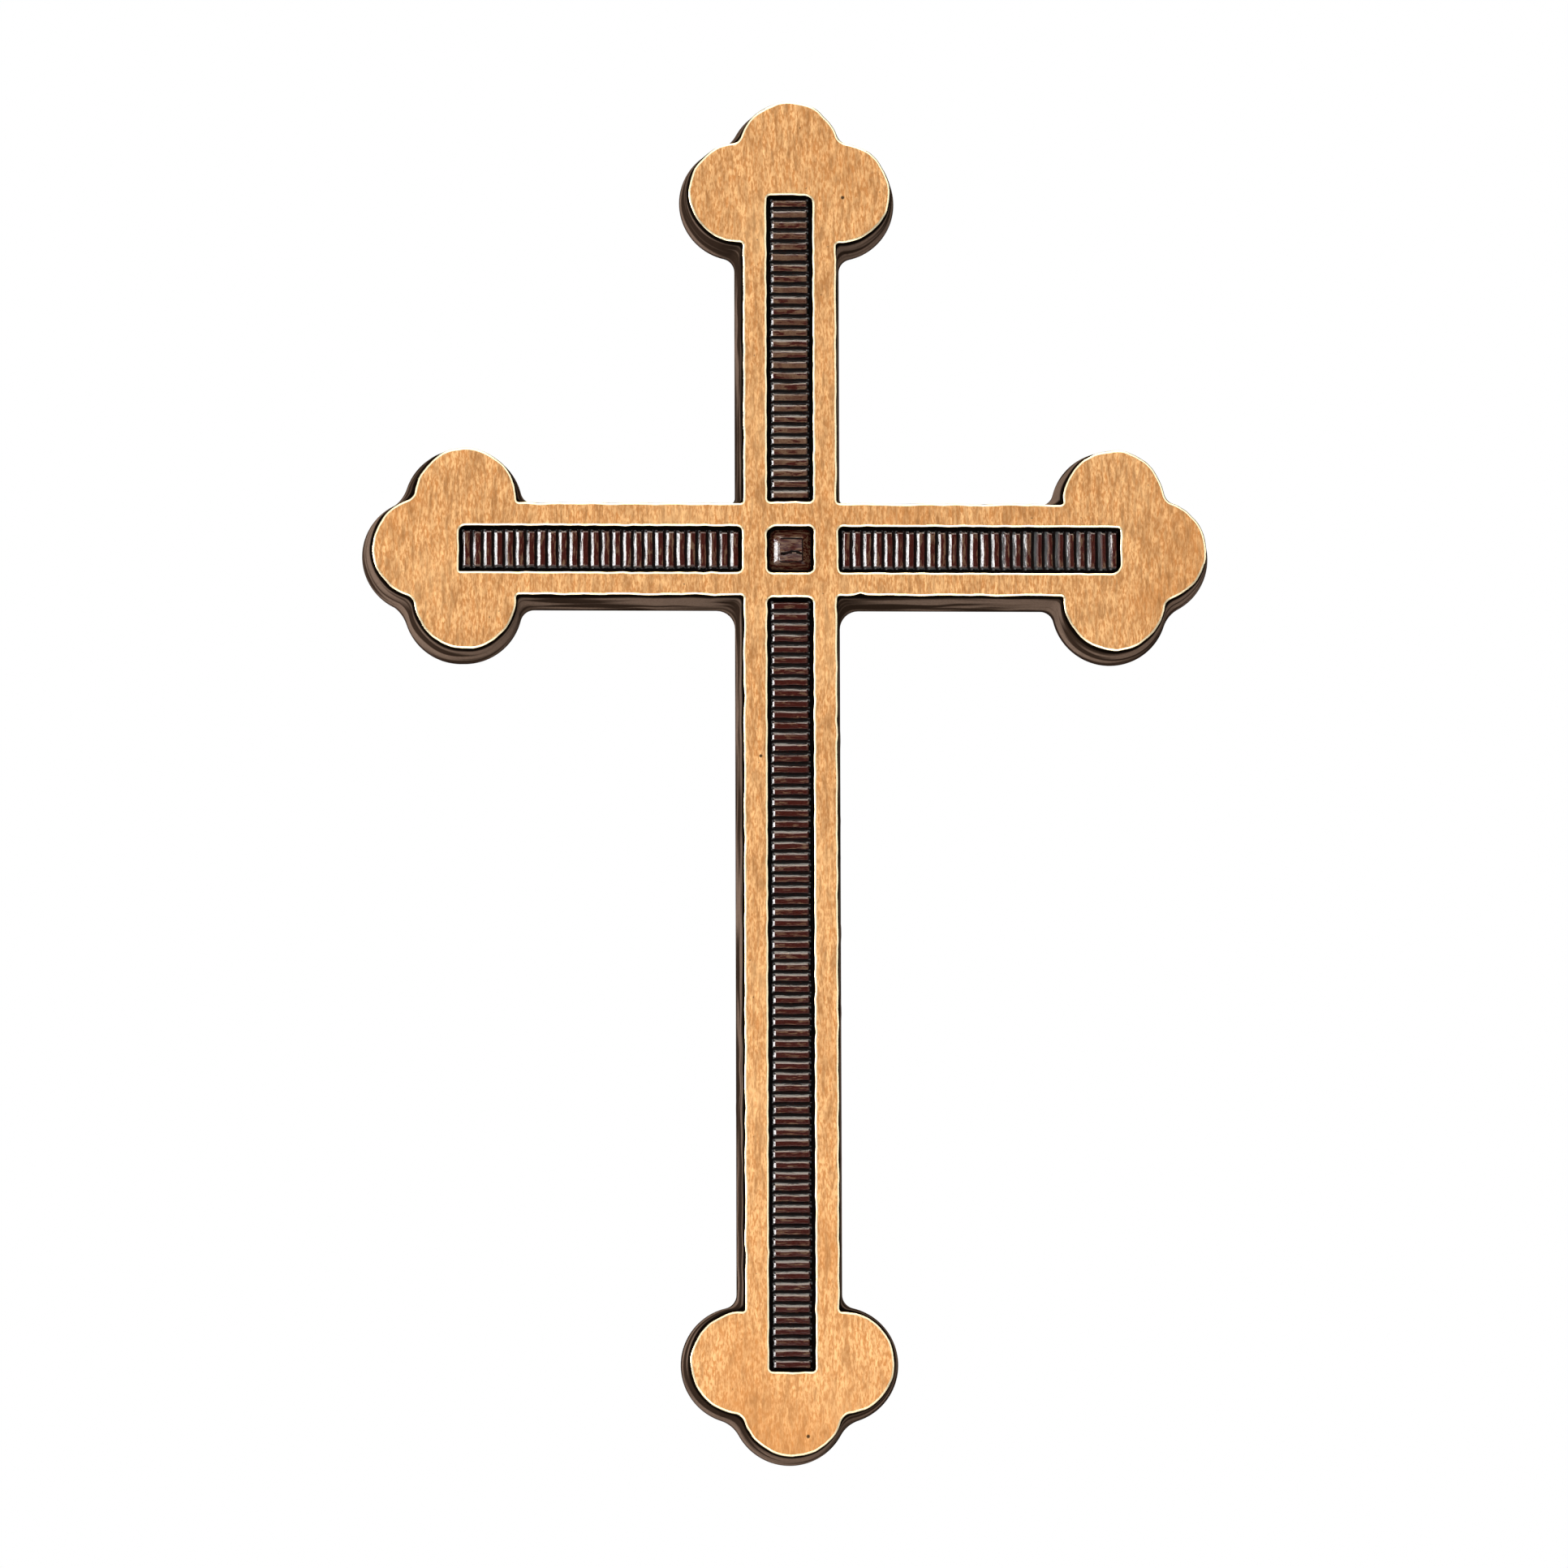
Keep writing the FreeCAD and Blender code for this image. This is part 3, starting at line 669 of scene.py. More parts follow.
def worn_edge():
    """(inset, drop) of a worn edge, from the flat face over a shallow chamfer to the wall."""
    slope = CHAMFER_DEPTH / CHAMFER_WIDTH
    rows = [(CHAMFER_WIDTH, 0.0), (CHAMFER_WIDTH * 0.94, slope * CHAMFER_WIDTH * 0.03)]
    for share in (0.85, 0.55, 0.22):
        rows.append((CHAMFER_WIDTH * share, CHAMFER_DEPTH * (1 - share)))
    for angle in np.linspace(math.atan(slope), math.pi / 2, 4)[1:]:
        inset = CHAMFER_ROUND * (1 - math.sin(angle))
        rows.append((inset, CHAMFER_DEPTH + CHAMFER_ROUND * (1 - math.cos(angle))))
    return rows


def skin_profile():
    """(offset, share, inset, y) of each outline from the edge of the face to the inner edge of the rim."""
    rows = [(-inset, 0.0, inset, FACE_Y + drop) for inset, drop in worn_edge()]
    for share in (0.08, 0.14, 0.24, 0.38, 0.54, 0.70, 0.84, 0.93):
        rows.append((DRAFT * share, share, 0.0, FACE_Y + THICKNESS * share))
    for angle in np.linspace(0, math.pi / 2, 4):
        inset = RIM_EDGE_RADIUS * (1 - math.cos(angle))
        rows.append((DRAFT - inset, 1.0, inset, RIM_Y - RIM_EDGE_RADIUS * (1 - math.sin(angle))))
    for angle in np.linspace(0, math.pi / 2, 4):
        offset = HOLLOW_OFFSET + RIM_EDGE_RADIUS * (1 - math.sin(angle))
        rows.append((offset, 1.0, 0.0, RIM_Y - RIM_EDGE_RADIUS * (1 - math.cos(angle))))
    return rows


def hollow_profile():
    """(offset, share, inset, y) of each outline from the rim down the inner wall to the floor."""
    rows = []
    for down in (0.35, 0.7):
        y = RIM_Y - (HOLLOW_DEPTH - HOLLOW_FILLET) * down
        rows.append((HOLLOW_OFFSET - HOLLOW_TAPER * down, 1.0, 0.0, y))
    for angle in np.linspace(0, math.pi / 2, 5):
        inset = HOLLOW_FILLET * (1 - math.cos(angle))
        y = FLOOR_Y + HOLLOW_FILLET * (1 - math.sin(angle))
        rows.append((HOLLOW_OFFSET - HOLLOW_TAPER - inset, 1.0, inset, y))
    return rows


def edge_push(outline, y):
    """How far the outline is pushed out at this height: waves, the lean of the left bud and a notch."""
    near_face = math.exp(-max(0.0, y - FACE_Y) / 2.0)
    push = EDGE_WAVE * near_face + SIDE_WAVE * (1 - near_face) * (y < RIM_Y - 0.5)
    push = push + LEFT_LEAN * LEFT_FACING * (y - FACE_Y) / THICKNESS
    reach = np.linalg.norm(outline - np.array(NOTCH), axis=1) / NOTCH_SIZE
    return push - NOTCH_DEPTH * np.exp(-reach ** 2) * math.exp(-((y - FACE_Y) / 1.1) ** 2)


FACE_OUTLINE = cross_outline(0.0)
OUTWARD = cross_outline(0.2, inset=-0.2) - FACE_OUTLINE
OUTWARD /= np.linalg.norm(OUTWARD, axis=1)[:, None]
LEFT_FACING = np.clip(-OUTWARD[:, 0], 0.0, 1.0) * (FACE_OUTLINE[:, 0] < -LEFT_ARM.reach + LOBE_RADIUS)
# hand-finishing waves, long and short along the face's edge and long down the sides: seed, height, length
EDGE_WAVE = ripple(FACE_OUTLINE, 11, 0.055, 7.0) + ripple(FACE_OUTLINE, 12, 0.025, 2.6)
SIDE_WAVE = ripple(FACE_OUTLINE, 13, 0.05, 9.0)


def add_outer_skin(shell):
    """Sides, rim and hollow. Returns the rings at the edge of the face and of the hollow's floor."""

    def rings_of(profile):
        rings = []
        for offset, share, inset, y in profile:
            outline = cross_outline(offset, share, inset)
            rings.append(shell.ring(outline + OUTWARD * edge_push(outline, y)[:, None], y))
        return rings

    skin = rings_of(skin_profile())
    hollow = rings_of(hollow_profile())
    shell.stack(skin, SKIN_LOOK)
    shell.stack(skin[-1:] + hollow, HOLLOW_LOOK)
    return skin[0], hollow[-1]


def add_pocket(shell, half_width, low, high, radii, turn, seed):
    """Skin of one pocket, from its rounded mouth to its floor. Returns the ring at the mouth."""
    rows = [(inset, FACE_Y + drop) for inset, drop in worn_edge()]
    rows.append((-POCKET_TAPER / 2, (FACE_Y + POCKET_FLOOR_Y) / 2))
    rows.append((-POCKET_TAPER, POCKET_FLOOR_Y))
    base = rounded_rectangle(half_width, low, high, radii)
    outward = rounded_rectangle(half_width, low, high, radii, grow=0.1) - base
    outward /= np.linalg.norm(outward, axis=1)[:, None]
    wave = ripple(base, seed, 0.045, 4.5) + ripple(base, seed + 100, 0.02, 1.8)
    rings = []
    for grow, y in rows:
        fade = math.exp(-(y - FACE_Y) / 0.8)
        outline = rounded_rectangle(half_width, low, high, radii, grow) + outward * (wave * fade)[:, None]
        rings.append(shell.ring(turned(outline, turn), y))
    shell.stack(rings, SKIN_LOOK)
    shell.fill(rings[-1], [], POCKET_FLOOR_Y, SKIN_LOOK)
    return rings[0]


POCKET_HALF_WIDTH = 3.36
CENTRE_HALF_WIDTH = 3.4
CENTRE_RADII = (1.35, 0.75, 0.8, 0.9)
CENTRE_SEED = 31  # seeds of the waves along the pockets' edges
POCKET_SEED = 41


def casting():
    shell = Shell()
    face_ring, floor_ring = add_outer_skin(shell)
    half = CENTRE_HALF_WIDTH
    mouths = [add_pocket(shell, half, -half, half, CENTRE_RADII, 0, CENTRE_SEED)]
    for seed, arm in enumerate(ARMS, POCKET_SEED):
        mouth = add_pocket(shell, POCKET_HALF_WIDTH, *arm.pocket, arm.corner_radii, arm.turn, seed)
        mouths.append(mouth)
    shell.fill(face_ring, mouths, FACE_Y, FACE_LOOK, spacing=2.2)
    shell.fill(floor_ring, [], FLOOR_Y, HOLLOW_LOOK, spacing=2.2)
    return shell.build("cross_casting", [FACE, SKIN, HOLLOW], "brushed_bronze", ["cross_body"])


# ---- inside of the back ----

ROUND_STEPS = 48


def lathe(profile, centre=(0.0, 0.0)):
    """Closed shell turned about an axis along Y, from (radius, y) points; the ends are capped."""
    shell = Shell()
    angles = np.linspace(0, 2 * math.pi, ROUND_STEPS, endpoint=False)
    circle = np.column_stack([np.cos(angles), np.sin(angles)])
    rings = [shell.ring(circle * radius + np.array(centre), y) for radius, y in profile]
    shell.tube(rings, 0)
    return shell


def quarter(radius_at, y_at, radius, start, end, steps=5):
    """Points (radius, y) of an arc in a lathe profile; angles in degrees."""
    angles = np.radians(np.linspace(start, end, steps + 1))
    return [(radius_at + radius * math.cos(a), y_at + radius * math.sin(a)) for a in angles]


BURY = 0.4  # how deep an added feature starts inside the wall that it stands on
FOOT_FILLET = 0.9
BOSS_EDGE = 0.35  # rounding of the top edge of a stud boss and of the pad
PAD_RADIUS = 4.0
PAD_TAPER = 0.35
STUD_BOSS_RADIUS = 5.0
STUD_BOSS_TAPER = 0.4
WEB_HALF = 0.9  # half thickness of a web, its taper, the rounding of its crest
WEB_TAPER = 0.2
WEB_EDGE = 0.45
WEB_BELOW_RIM = 1.5
WEB_REACH = 0.5  # how far a web runs into the walls beside it
WEB_STEPS = 9


def boss_profile(radius, top_y, taper):
    """Cast boss: flared foot on the floor of the hollow, tapered side and rounded top edge."""
    foot = radius + taper
    profile = [(foot + FOOT_FILLET, FLOOR_Y - BURY)]
    profile += quarter(foot + FOOT_FILLET, FLOOR_Y + FOOT_FILLET, FOOT_FILLET, 270, 180)
    profile += quarter(radius - BOSS_EDGE, top_y - BOSS_EDGE, BOSS_EDGE, 0, 90)
    return profile


def back_features():
    """Stud bosses, webs and the centre pad, all cast in one with the cross."""
    pad = lathe(boss_profile(PAD_RADIUS, RIM_Y, PAD_TAPER))
    pad.build("centre_pad", [HOLLOW], "brushed_bronze")
    for arm in ARMS:
        profile = boss_profile(STUD_BOSS_RADIUS, arm.nut_span[0], STUD_BOSS_TAPER)
        boss = lathe(profile, (0.0, arm.stud_station))
        boss.build(arm.name + "_stud_boss", [HOLLOW], "brushed_bronze", turn=arm.turn)
        for index, station in enumerate(arm.webs):
            web(arm, station).build(f"{arm.name}_web_{index + 1}", [HOLLOW], "brushed_bronze", turn=arm.turn)


def web(arm, station):
    """Cast stiffener across the hollow: a wall with flared feet and a rounded crest."""
    crest_y = RIM_Y - WEB_BELOW_RIM
    side = [(WEB_HALF + FOOT_FILLET, FLOOR_Y - BURY)]
    side += quarter(WEB_HALF + WEB_TAPER + FOOT_FILLET, FLOOR_Y + FOOT_FILLET, FOOT_FILLET, 270, 180)
    side += quarter(WEB_HALF - WEB_EDGE, crest_y - WEB_EDGE, WEB_EDGE, 0, 90)
    profile = side + [(-across, y) for across, y in reversed(side)]
    reach = arm.half_width + HOLLOW_OFFSET + WEB_REACH
    shell = Shell()
    rings = []
    for x in np.linspace(-reach, reach, WEB_STEPS):
        rings.append(shell.add([(x, y, station + across) for across, y in profile]))
    shell.tube(rings, 0)
    return shell


# ---- inlays ----

RIB_PITCH = 1.59  # about: each strip holds a whole number of ribs
RIB_WIDTH = 1.27
RIB_LENGTH = 5.74
RIB_END_MARGIN = 0.32
RIB_CROWN = 0.03
LIT_RUN = 0.43  # width of the gentle flank, of the steep flank and of the slope at each end
STEEP_RUN = 0.16
END_RUN = 0.46
FLATTENED = {"right": 0.45}  # arm whose outer ribs are rubbed flatter, and by how much
FLAT_FROM = 0.45  # share of the way along the arm where that starts, and over how much it grows
FLAT_OVER = 0.25
RIB_COLUMNS = 12
ROWS_PER_RIB = 13


def slope_steps(run):
    """Distances from the foot of a slope, closer together at its foot and crest to keep it flat between."""
    return [0.0, run * 0.07, run * 0.5, run * 0.92, run, run * 1.12]


def rib_grid(low, high, lit_side, flattened, seed):
    """Height field of the ribs: arrays of x, y and z, with every border point on the plinth.

    lit_side is 1 if the gentle flank is the one towards the end of the arm, and -1 if it is the other.
    flattened is how much wider the gentle flank has worn on the ribs nearest the end of the arm.
    """
    random = np.random.default_rng(seed)
    first, last = low + RIB_END_MARGIN, high - RIB_END_MARGIN
    count = round((last - first) / RIB_PITCH)
    pitch = (last - first) / count
    half_length = RIB_LENGTH / 2
    ends = np.array(slope_steps(END_RUN))
    middle_columns = np.linspace(ends[-1] - half_length, half_length - ends[-1], RIB_COLUMNS)[1:-1]
    columns = np.concatenate([ends - half_length, middle_columns, half_length - ends[::-1]])
    half = RIB_WIDTH / 2
    rows = []
    for index in range(count):
        middle = first + pitch * (index + 0.5)
        height = RIB_HEIGHT * random.uniform(0.93, 1.07)
        stretch = random.uniform(0.965, 1.015)
        slide = random.uniform(-0.05, 0.05)
        skew = random.uniform(-0.012, 0.012)
        bend = random.uniform(-0.04, 0.04)
        phase = random.uniform(0, 2 * math.pi)
        wobble = skew * columns + bend * np.sin(columns * 1.6 + phase)
        dip = 1 + 0.06 * np.sin(columns * 1.1 + phase * 1.7)
        wear = np.clip((index / count - FLAT_FROM) / FLAT_OVER, 0.0, 1.0)
        lit_run = LIT_RUN * random.uniform(0.90, 1.10) * (1 + flattened * wear)
        gentle, steep = slope_steps(lit_run), slope_steps(STEEP_RUN)
        crest = (steep[-1] - gentle[-1]) / 2
        across_rib = np.concatenate([np.array(steep) - half, [crest], half - np.array(gentle[::-1])])
        for across in across_rib[::lit_side]:
            short_of_crest = [1 - (half - across) / lit_run, 1 - (across + half) / STEEP_RUN,
                              1 - (half_length - np.abs(columns)) / END_RUN]
            fall = np.sqrt(sum(np.maximum(0.0, share) ** 2 for share in short_of_crest))
            rise = np.maximum(0.0, 1 - fall)
            crown = RIB_CROWN * rise * (1 - (across / half) ** 2)
            y = PLINTH_Y - (height * rise + crown) * dip
            z = middle + across * lit_side + wobble
            rows.append(np.column_stack([columns * stretch + slide, y, z]))
    return rows


def inlay(arm, seed):
    """Fluted strip: ribs standing on a thin flange that fills the pocket floor."""
    shell = Shell()
    low, high = arm.pocket
    outline = rounded_rectangle(POCKET_HALF_WIDTH, low, high, arm.corner_radii, grow=-FLANGE_GAP)
    top = shell.ring(outline, FLANGE_TOP_Y)
    foot = shell.ring(outline, UNDERSIDE_Y)
    shell.bridge(top, foot, GROUND_LOOK)
    shell.fill(foot, [], UNDERSIDE_Y, GROUND_LOOK)
    grid = rib_grid(low, high, arm.lit_side, FLATTENED.get(arm.name, 0.0), seed)
    rows = [shell.add(row) for row in grid]
    for number, (row_a, row_b) in enumerate(zip(rows, rows[1:])):
        groove = (number + 1) % ROWS_PER_RIB == 0
        for i in range(len(row_a) - 1):
            look = GROUND_LOOK if groove else METAL_LOOK
            shell.face((row_a[i], row_a[i + 1], row_b[i + 1], row_b[i]), look)
    last_column = [row[-1] for row in rows[1:-1]]
    first_column = [row[0] for row in rows[-2:0:-1]]
    border = rows[0] + last_column + rows[-1][::-1] + first_column
    foot_of_plinth = shell.add([(shell.points[n][0], FLANGE_TOP_Y, shell.points[n][2]) for n in border])
    shell.bridge(border, foot_of_plinth, GROUND_LOOK)
    shell.fill(top, [foot_of_plinth], FLANGE_TOP_Y, GROUND_LOOK)
    shell.build(arm.name + "_fluted_inlay", [RIB_LOOKS[arm.name], GROUND], "patina_bronze",
                [arm.name + "_inlay"], turn=arm.turn)
    rivets(arm, seed)


RIVET_RADIUS = 1.8
RIVET_HEIGHT = 0.78


def rivets(arm, seed):
    """Hammered peg ends of the inlay, in the hollow."""
    random = np.random.default_rng(seed + 500)
    for index, station in enumerate(arm.rivets):
        radius = RIVET_RADIUS * random.uniform(0.94, 1.04)
        profile = [(radius * 0.96, FLOOR_Y - 0.2), (radius, FLOOR_Y + 0.12)]
        for angle in np.linspace(15, 80, 7):
            turn = math.radians(angle)
            profile.append((radius * math.cos(turn), FLOOR_Y + 0.1 + RIVET_HEIGHT * math.sin(turn)))
        head = lathe(profile, (random.uniform(-0.1, 0.1), station))
        head.build(f"{arm.name}_rivet_{index + 1}", [RIVET], "patina_bronze", turn=arm.turn)


# left half width and height of each step of the boss
BOSS_RINGS = [(2.98, 0.0), (2.94, 0.08), (2.42, 0.66), (2.36, 0.71), (2.30, 0.75), (2.25, 0.78),
              (1.86, 1.03), (1.80, 1.07), (1.73, 1.09), (1.64, 1.10)]
BOSS_HEIGHT = 1.10
BOSS_FOOT = {"right": 2.98, "top": 3.0, "bottom": 2.9}  # half widths of the other sides at the foot
BOSS_CREST = {"right": 1.86, "top": 1.75, "bottom": 1.9}  # and at the top
BOSS_TOP_HALF_WIDTH = 1.64
BOSS_OUTLINE = 0.2  # black line along three sides of the top
BOSS_LEAN = 0.16  # how steeply the two patches of the top lean upwards
DENT = (0.1, -0.45)  # long casting flaw across the top of the boss: middle, half length, half width
DENT_HALF_LENGTH = 1.45
DENT_HALF_WIDTH = 0.17
DENT_DEPTH = 0.14
DENT_BLACK = 0.8  # share of the dent's half width that is black
BOSS_SPACING = 0.13  # of the points across the top


def centre_boss():
    """Square boss on a flange: four bevels that meet in mitres, up to a small dished top."""
    shell = Shell()
    outer = CENTRE_HALF_WIDTH - FLANGE_GAP
    top_y = FLANGE_TOP_Y - BOSS_HEIGHT
    base = rounded_rectangle(outer, -outer, outer, [radius - FLANGE_GAP for radius in CENTRE_RADII])
    rows = [(outer, UNDERSIDE_Y), (outer, FLANGE_TOP_Y + 0.06), (outer - 0.06, FLANGE_TOP_Y)]
    skirt = [shell.ring(base * (half_width / outer), y) for half_width, y in rows]

    def bevelled(left, height):
        """Outline of the boss at one height: each side at its own distance from the middle."""
        share = height / BOSS_HEIGHT
        right, top, bottom = (BOSS_FOOT[side] + (BOSS_CREST[side] - BOSS_FOOT[side]) * share
                              for side in ("right", "top", "bottom"))
        across = np.where(base[:, 0] < 0, left, right)
        along = np.where(base[:, 1] < 0, bottom, top)
        return base * np.column_stack([across, along]) / outer

    rings = [shell.ring(bevelled(left, height), FLANGE_TOP_Y - height) for left, height in BOSS_RINGS]
    shell.stack(skirt + rings[:1], GROUND_LOOK)
    shell.stack(rings, METAL_LOOK)
    shell.fill(skirt[0], [], UNDERSIDE_Y, GROUND_LOOK)

    def off_dent(x, z):
        """Distance from the dent's wavy middle line as a share of its half width; 1 is its edge."""
        bend = 0.16 * math.sin(2.1 * x + 0.6)
        across = (z - DENT[1] - bend) / (DENT_HALF_WIDTH * (1 + 0.5 * math.sin(3.3 * x - 1.9) ** 2))
        return math.hypot(across, max(0.0, abs(x - DENT[0]) - DENT_HALF_LENGTH) / DENT_HALF_WIDTH)

    def dish(x, z):
        """Two patches that lean upwards, one above the dent and one below it."""
        patch_top = BOSS_TOP_HALF_WIDTH if z > DENT[1] else DENT[1]
        wave = 0.02 * math.sin(2.3 * x + 1.0) * math.cos(2.9 * z)
        return wave - BOSS_LEAN * (patch_top - z) + DENT_DEPTH * math.exp(-off_dent(x, z) ** 2)

    first = len(shell.faces)
    shell.fill(rings[-1], [], top_y, METAL_LOOK, spacing=BOSS_SPACING, dish=dish)
    for number in range(first, len(shell.faces)):
        x, _, z = np.mean([shell.points[corner] for corner in shell.faces[number]], axis=0)
        off_edge = min(BOSS_CREST["right"] - x, BOSS_CREST["top"] - z, BOSS_CREST["bottom"] + z)
        if off_dent(x, z) < DENT_BLACK or off_edge < BOSS_OUTLINE:
            shell.looks[number] = GROUND_LOOK
    shell.build("centre_bevelled_boss", [BOSS, GROUND], "patina_bronze", ["centre_boss"])


# ---- fixings ----

THREAD_PITCH = 0.8
THREAD_DEPTH = 0.49
THREAD_ROWS = 8
STUD_STEPS = 40
TIP_CHAMFER = 0.8


def thread_radius(radius, angles, y):
    """Radius of a right-hand thread at each angle, at one place along the axis."""
    phase = np.mod(y / THREAD_PITCH - angles / (2 * math.pi), 1.0)
    from_crest = np.abs(2 * phase - 1)
    return radius - THREAD_DEPTH * np.clip((from_crest - 0.125) / 0.625, 0, 1)


def stud(arm):
    shell = Shell()
    angles = np.linspace(0, 2 * math.pi, STUD_STEPS, endpoint=False)
    start, end = arm.nut_span[0] - 1.0, arm.stud_span[1]
    rows = np.arange(start, end, THREAD_PITCH / THREAD_ROWS)
    rings = []
    for y in list(rows) + [end]:
        radius = thread_radius(arm.stud_radius, angles, y)
        radius = np.minimum(radius, arm.stud_radius - TIP_CHAMFER + (end - y))
        points = np.column_stack([radius * np.sin(angles), radius * np.cos(angles) + arm.stud_station])
        rings.append(shell.ring(points, y))
    shell.tube(rings, 0)
    shell.build(arm.name + "_threaded_stud", [STUD], "stainless_steel", [arm.name + "_stud"], turn=arm.turn)


NUT_STEPS = 120
NUT_CHAMFER = 30.0


def lock_nut(arm):
    """Thin hexagon nut, chamfered on both faces, with a countersunk bore."""
    shell = Shell()
    low, high = arm.nut_span
    apothem = arm.nut_flats / 2
    angles = np.linspace(0, 2 * math.pi, NUT_STEPS, endpoint=False)
    within = np.mod(angles, math.pi / 3) - math.pi / 6
    hexagon = apothem / np.cos(within)
    slope = math.tan(math.radians(NUT_CHAMFER))
    bore = arm.stud_radius - 0.25
    mouth = arm.stud_radius + 0.25
    rings = []

    def add(radius, y):
        points = np.column_stack([radius * np.cos(angles), radius * np.sin(angles) + arm.stud_station])
        rings.append(shell.ring(points, y))

    add(np.full(NUT_STEPS, bore), low + (mouth - bore))
    add(np.full(NUT_STEPS, mouth), low)
    face_radius = apothem - 0.15
    corner = apothem / math.cos(math.pi / 6)
    heights = np.linspace(0, (corner - face_radius) * slope, 6)
    for height in heights:
        add(np.minimum(hexagon, face_radius + height / slope), low + height)
    for height in heights[::-1]:
        add(np.minimum(hexagon, face_radius + height / slope), high - height)
    add(np.full(NUT_STEPS, mouth), high)
    add(np.full(NUT_STEPS, bore), high - (mouth - bore))
    rings.append(rings[0])
    shell.stack(rings, 0)
    shell.build(arm.name + "_jam_nut", [NUT], "stainless_steel", [arm.name + "_lock_nut"], turn=arm.turn)


# ---- floor, light and camera ----

FLOOR_DROP = 0.20  # floor below the foot of the cross
FLOOR_SIDE = 3.0
WHITE = (1.0, 1.0, 1.0)
WARM = (1.0, 0.92, 0.80)


def stage():
    z = cad_low.z - FLOOR_DROP
    corners = [(-FLOOR_SIDE, -FLOOR_SIDE, z), (FLOOR_SIDE, -FLOOR_SIDE, z),
               (FLOOR_SIDE, FLOOR_SIDE, z), (-FLOOR_SIDE, FLOOR_SIDE, z)]
    mesh = bpy.data.meshes.new("floor")
    mesh.from_pydata(corners, [], [(0, 1, 2, 3)])
    floor = placed("floor", mesh)
    look = Look("pale_floor")
    tone = look.mix(look.noise(120.0), (0.80, 0.80, 0.80), (0.84, 0.84, 0.84))
    mesh.materials.append(look.finish(tone, 0.7, metallic=0.0))


def soft_light(name, place, width, height, radiance, tint=WHITE, spread=180.0):
    """Rectangular light that faces the cross; with a radiance of 1 it looks plain white, seen straight on."""
    data = bpy.data.lights.new(name, "AREA")
    data.shape = "RECTANGLE"
    data.size = width
    data.size_y = height
    data.energy = radiance * math.pi * width * height
    data.color = tint
    data.spread = math.radians(spread)
    lamp = placed(name, data)
    lamp.location = place
    lamp.rotation_euler = (LIGHT_AIM - Vector(place)).to_track_quat("-Z", "Y").to_euler()


LIGHT_AIM = Vector((0.0, 0.0, -0.03))
WORLD_FRONT = 0.08  # brightness of the surround straight in front of the cross,
WORLD_NEAR = 0.16  # close round that direction,
WORLD_RING = 1.40  # in a wider ring,
WORLD_OUTER = 3.0  # along the outer edge of that ring,
WORLD_SIDE = 0.12  # beside the cross
WORLD_BACK = 0.40  # and behind it
# how far round each brightness lies, from 0 straight in front of the cross to 1 straight behind it
WORLD_STOPS = [(0.006, WORLD_FRONT), (0.028, WORLD_NEAR), (0.060, WORLD_RING), (0.115, WORLD_RING),
               (0.140, WORLD_OUTER), (0.170, WORLD_OUTER), (0.24, WORLD_SIDE),
               (0.60, WORLD_SIDE), (0.85, WORLD_BACK)]


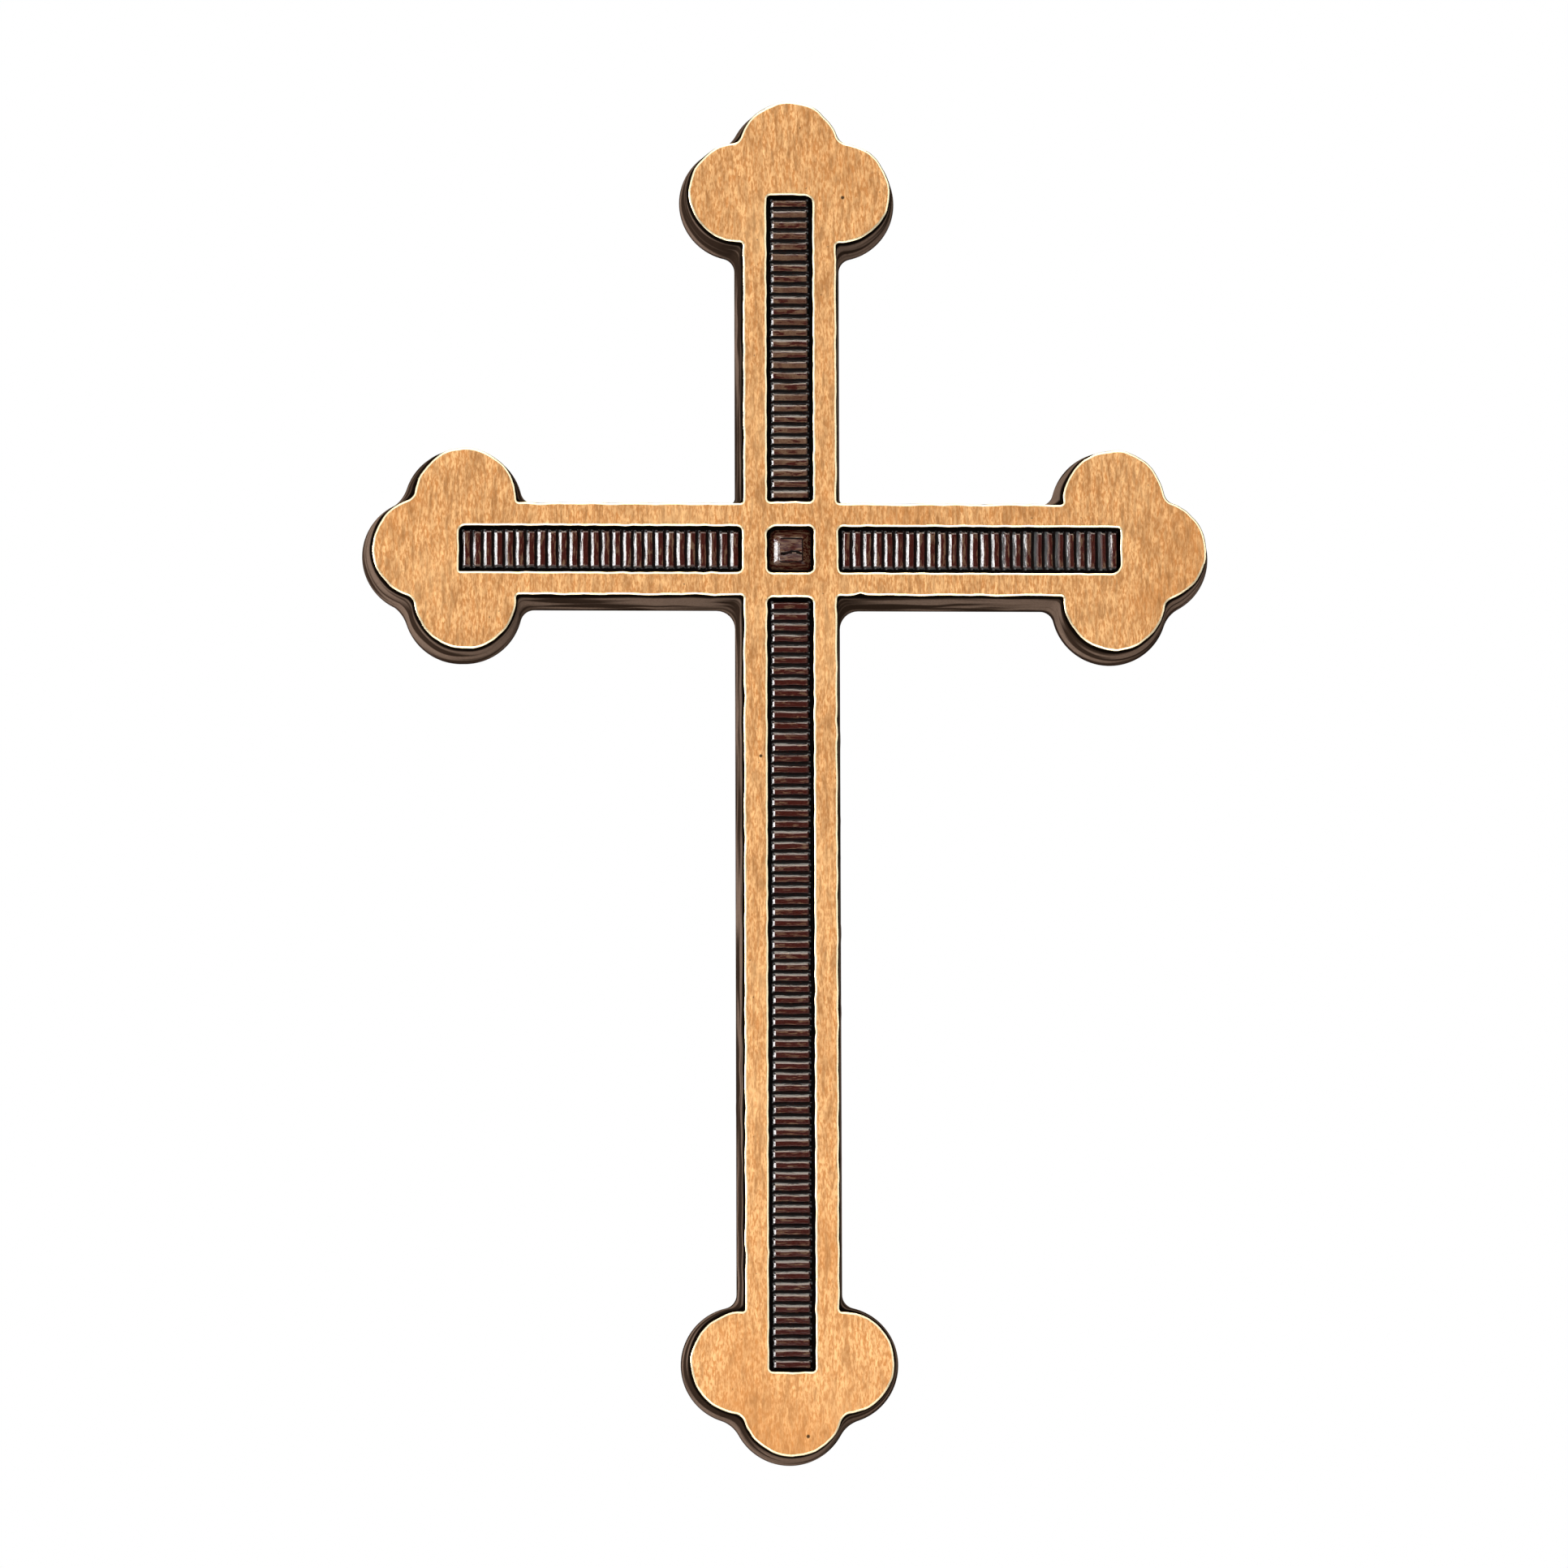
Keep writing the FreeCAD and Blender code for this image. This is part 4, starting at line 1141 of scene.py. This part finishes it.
def studio():
    """Soft surround, brightest in a ring about the front, four soft lights and a white background."""
    world = bpy.data.worlds.new("studio")
    world.use_nodes = True
    tree = world.node_tree
    lit = tree.nodes["Background"]
    seen = tree.nodes.new("ShaderNodeBackground")
    seen.inputs["Color"].default_value = (1.0, 1.0, 1.0, 1.0)
    direction = tree.nodes.new("ShaderNodeTexCoord")
    split = tree.nodes.new("ShaderNodeSeparateXYZ")
    tree.links.new(direction.outputs["Generated"], split.inputs[0])
    ramp = tree.nodes.new("ShaderNodeValToRGB")
    forward = tree.nodes.new("ShaderNodeMapRange")
    forward.inputs["From Min"].default_value = -1.0
    forward.inputs["From Max"].default_value = 1.0
    tree.links.new(split.outputs["Y"], forward.inputs["Value"])
    tree.links.new(forward.outputs["Result"], ramp.inputs["Fac"])
    ramp.color_ramp.interpolation = "EASE"
    while len(ramp.color_ramp.elements) < len(WORLD_STOPS):
        ramp.color_ramp.elements.new(0.5)
    for stop, (place, level) in zip(ramp.color_ramp.elements, WORLD_STOPS):
        stop.position = place
        stop.color = (level, level, level, 1.0)
    tree.links.new(ramp.outputs["Color"], lit.inputs["Color"])
    path = tree.nodes.new("ShaderNodeLightPath")
    switch = tree.nodes.new("ShaderNodeMixShader")
    tree.links.new(path.outputs["Is Camera Ray"], switch.inputs[0])
    tree.links.new(lit.outputs[0], switch.inputs[1])
    tree.links.new(seen.outputs[0], switch.inputs[2])
    tree.links.new(switch.outputs[0], tree.nodes["World Output"].inputs["Surface"])
    bpy.context.scene.world = world
    bpy.context.scene.view_settings.view_transform = "Standard"
    soft_light("window", (-1.0, -0.45, 0.05), 0.34, 0.40, 34.0)
    soft_light("overhead", (0.0, -0.42, 1.10), 0.9, 0.6, 9.0, tint=WARM)
    soft_light("card", (0.0, -0.42, -0.29), 0.6, 0.16, 0.8, spread=70.0)
    soft_light("behind", (0.5, 1.2, 0.5), 1.0, 1.0, 3.0)


CAMERA_PLACE = Vector((-0.0576, -1.1971, -0.1587))
CAMERA_TILT = 5.978  # degrees upwards
CAMERA_PAN = -2.7115  # degrees towards +X
CAMERA_ROLL = -0.160
CAMERA_LENS = 188.71


def camera():
    data = bpy.data.cameras.new("camera")
    data.lens = CAMERA_LENS
    data.sensor_width = 36.0
    eye = placed("camera", data)
    upright = Matrix.Rotation(math.pi / 2, 3, "X")
    tilt = Matrix.Rotation(math.radians(CAMERA_TILT), 3, "X")
    pan = Matrix.Rotation(math.radians(CAMERA_PAN), 3, "Y")
    roll = Matrix.Rotation(math.radians(CAMERA_ROLL), 3, "Z")
    turn = upright @ roll @ pan @ tilt
    eye.matrix_world = Matrix.Translation(CAMERA_PLACE) @ turn.to_4x4()
    bpy.context.scene.camera = eye


casting()
back_features()
for number, arm in enumerate(ARMS):
    inlay(arm, 61 + number)
    stud(arm)
    lock_nut(arm)
centre_boss()
stage()
studio()
camera()
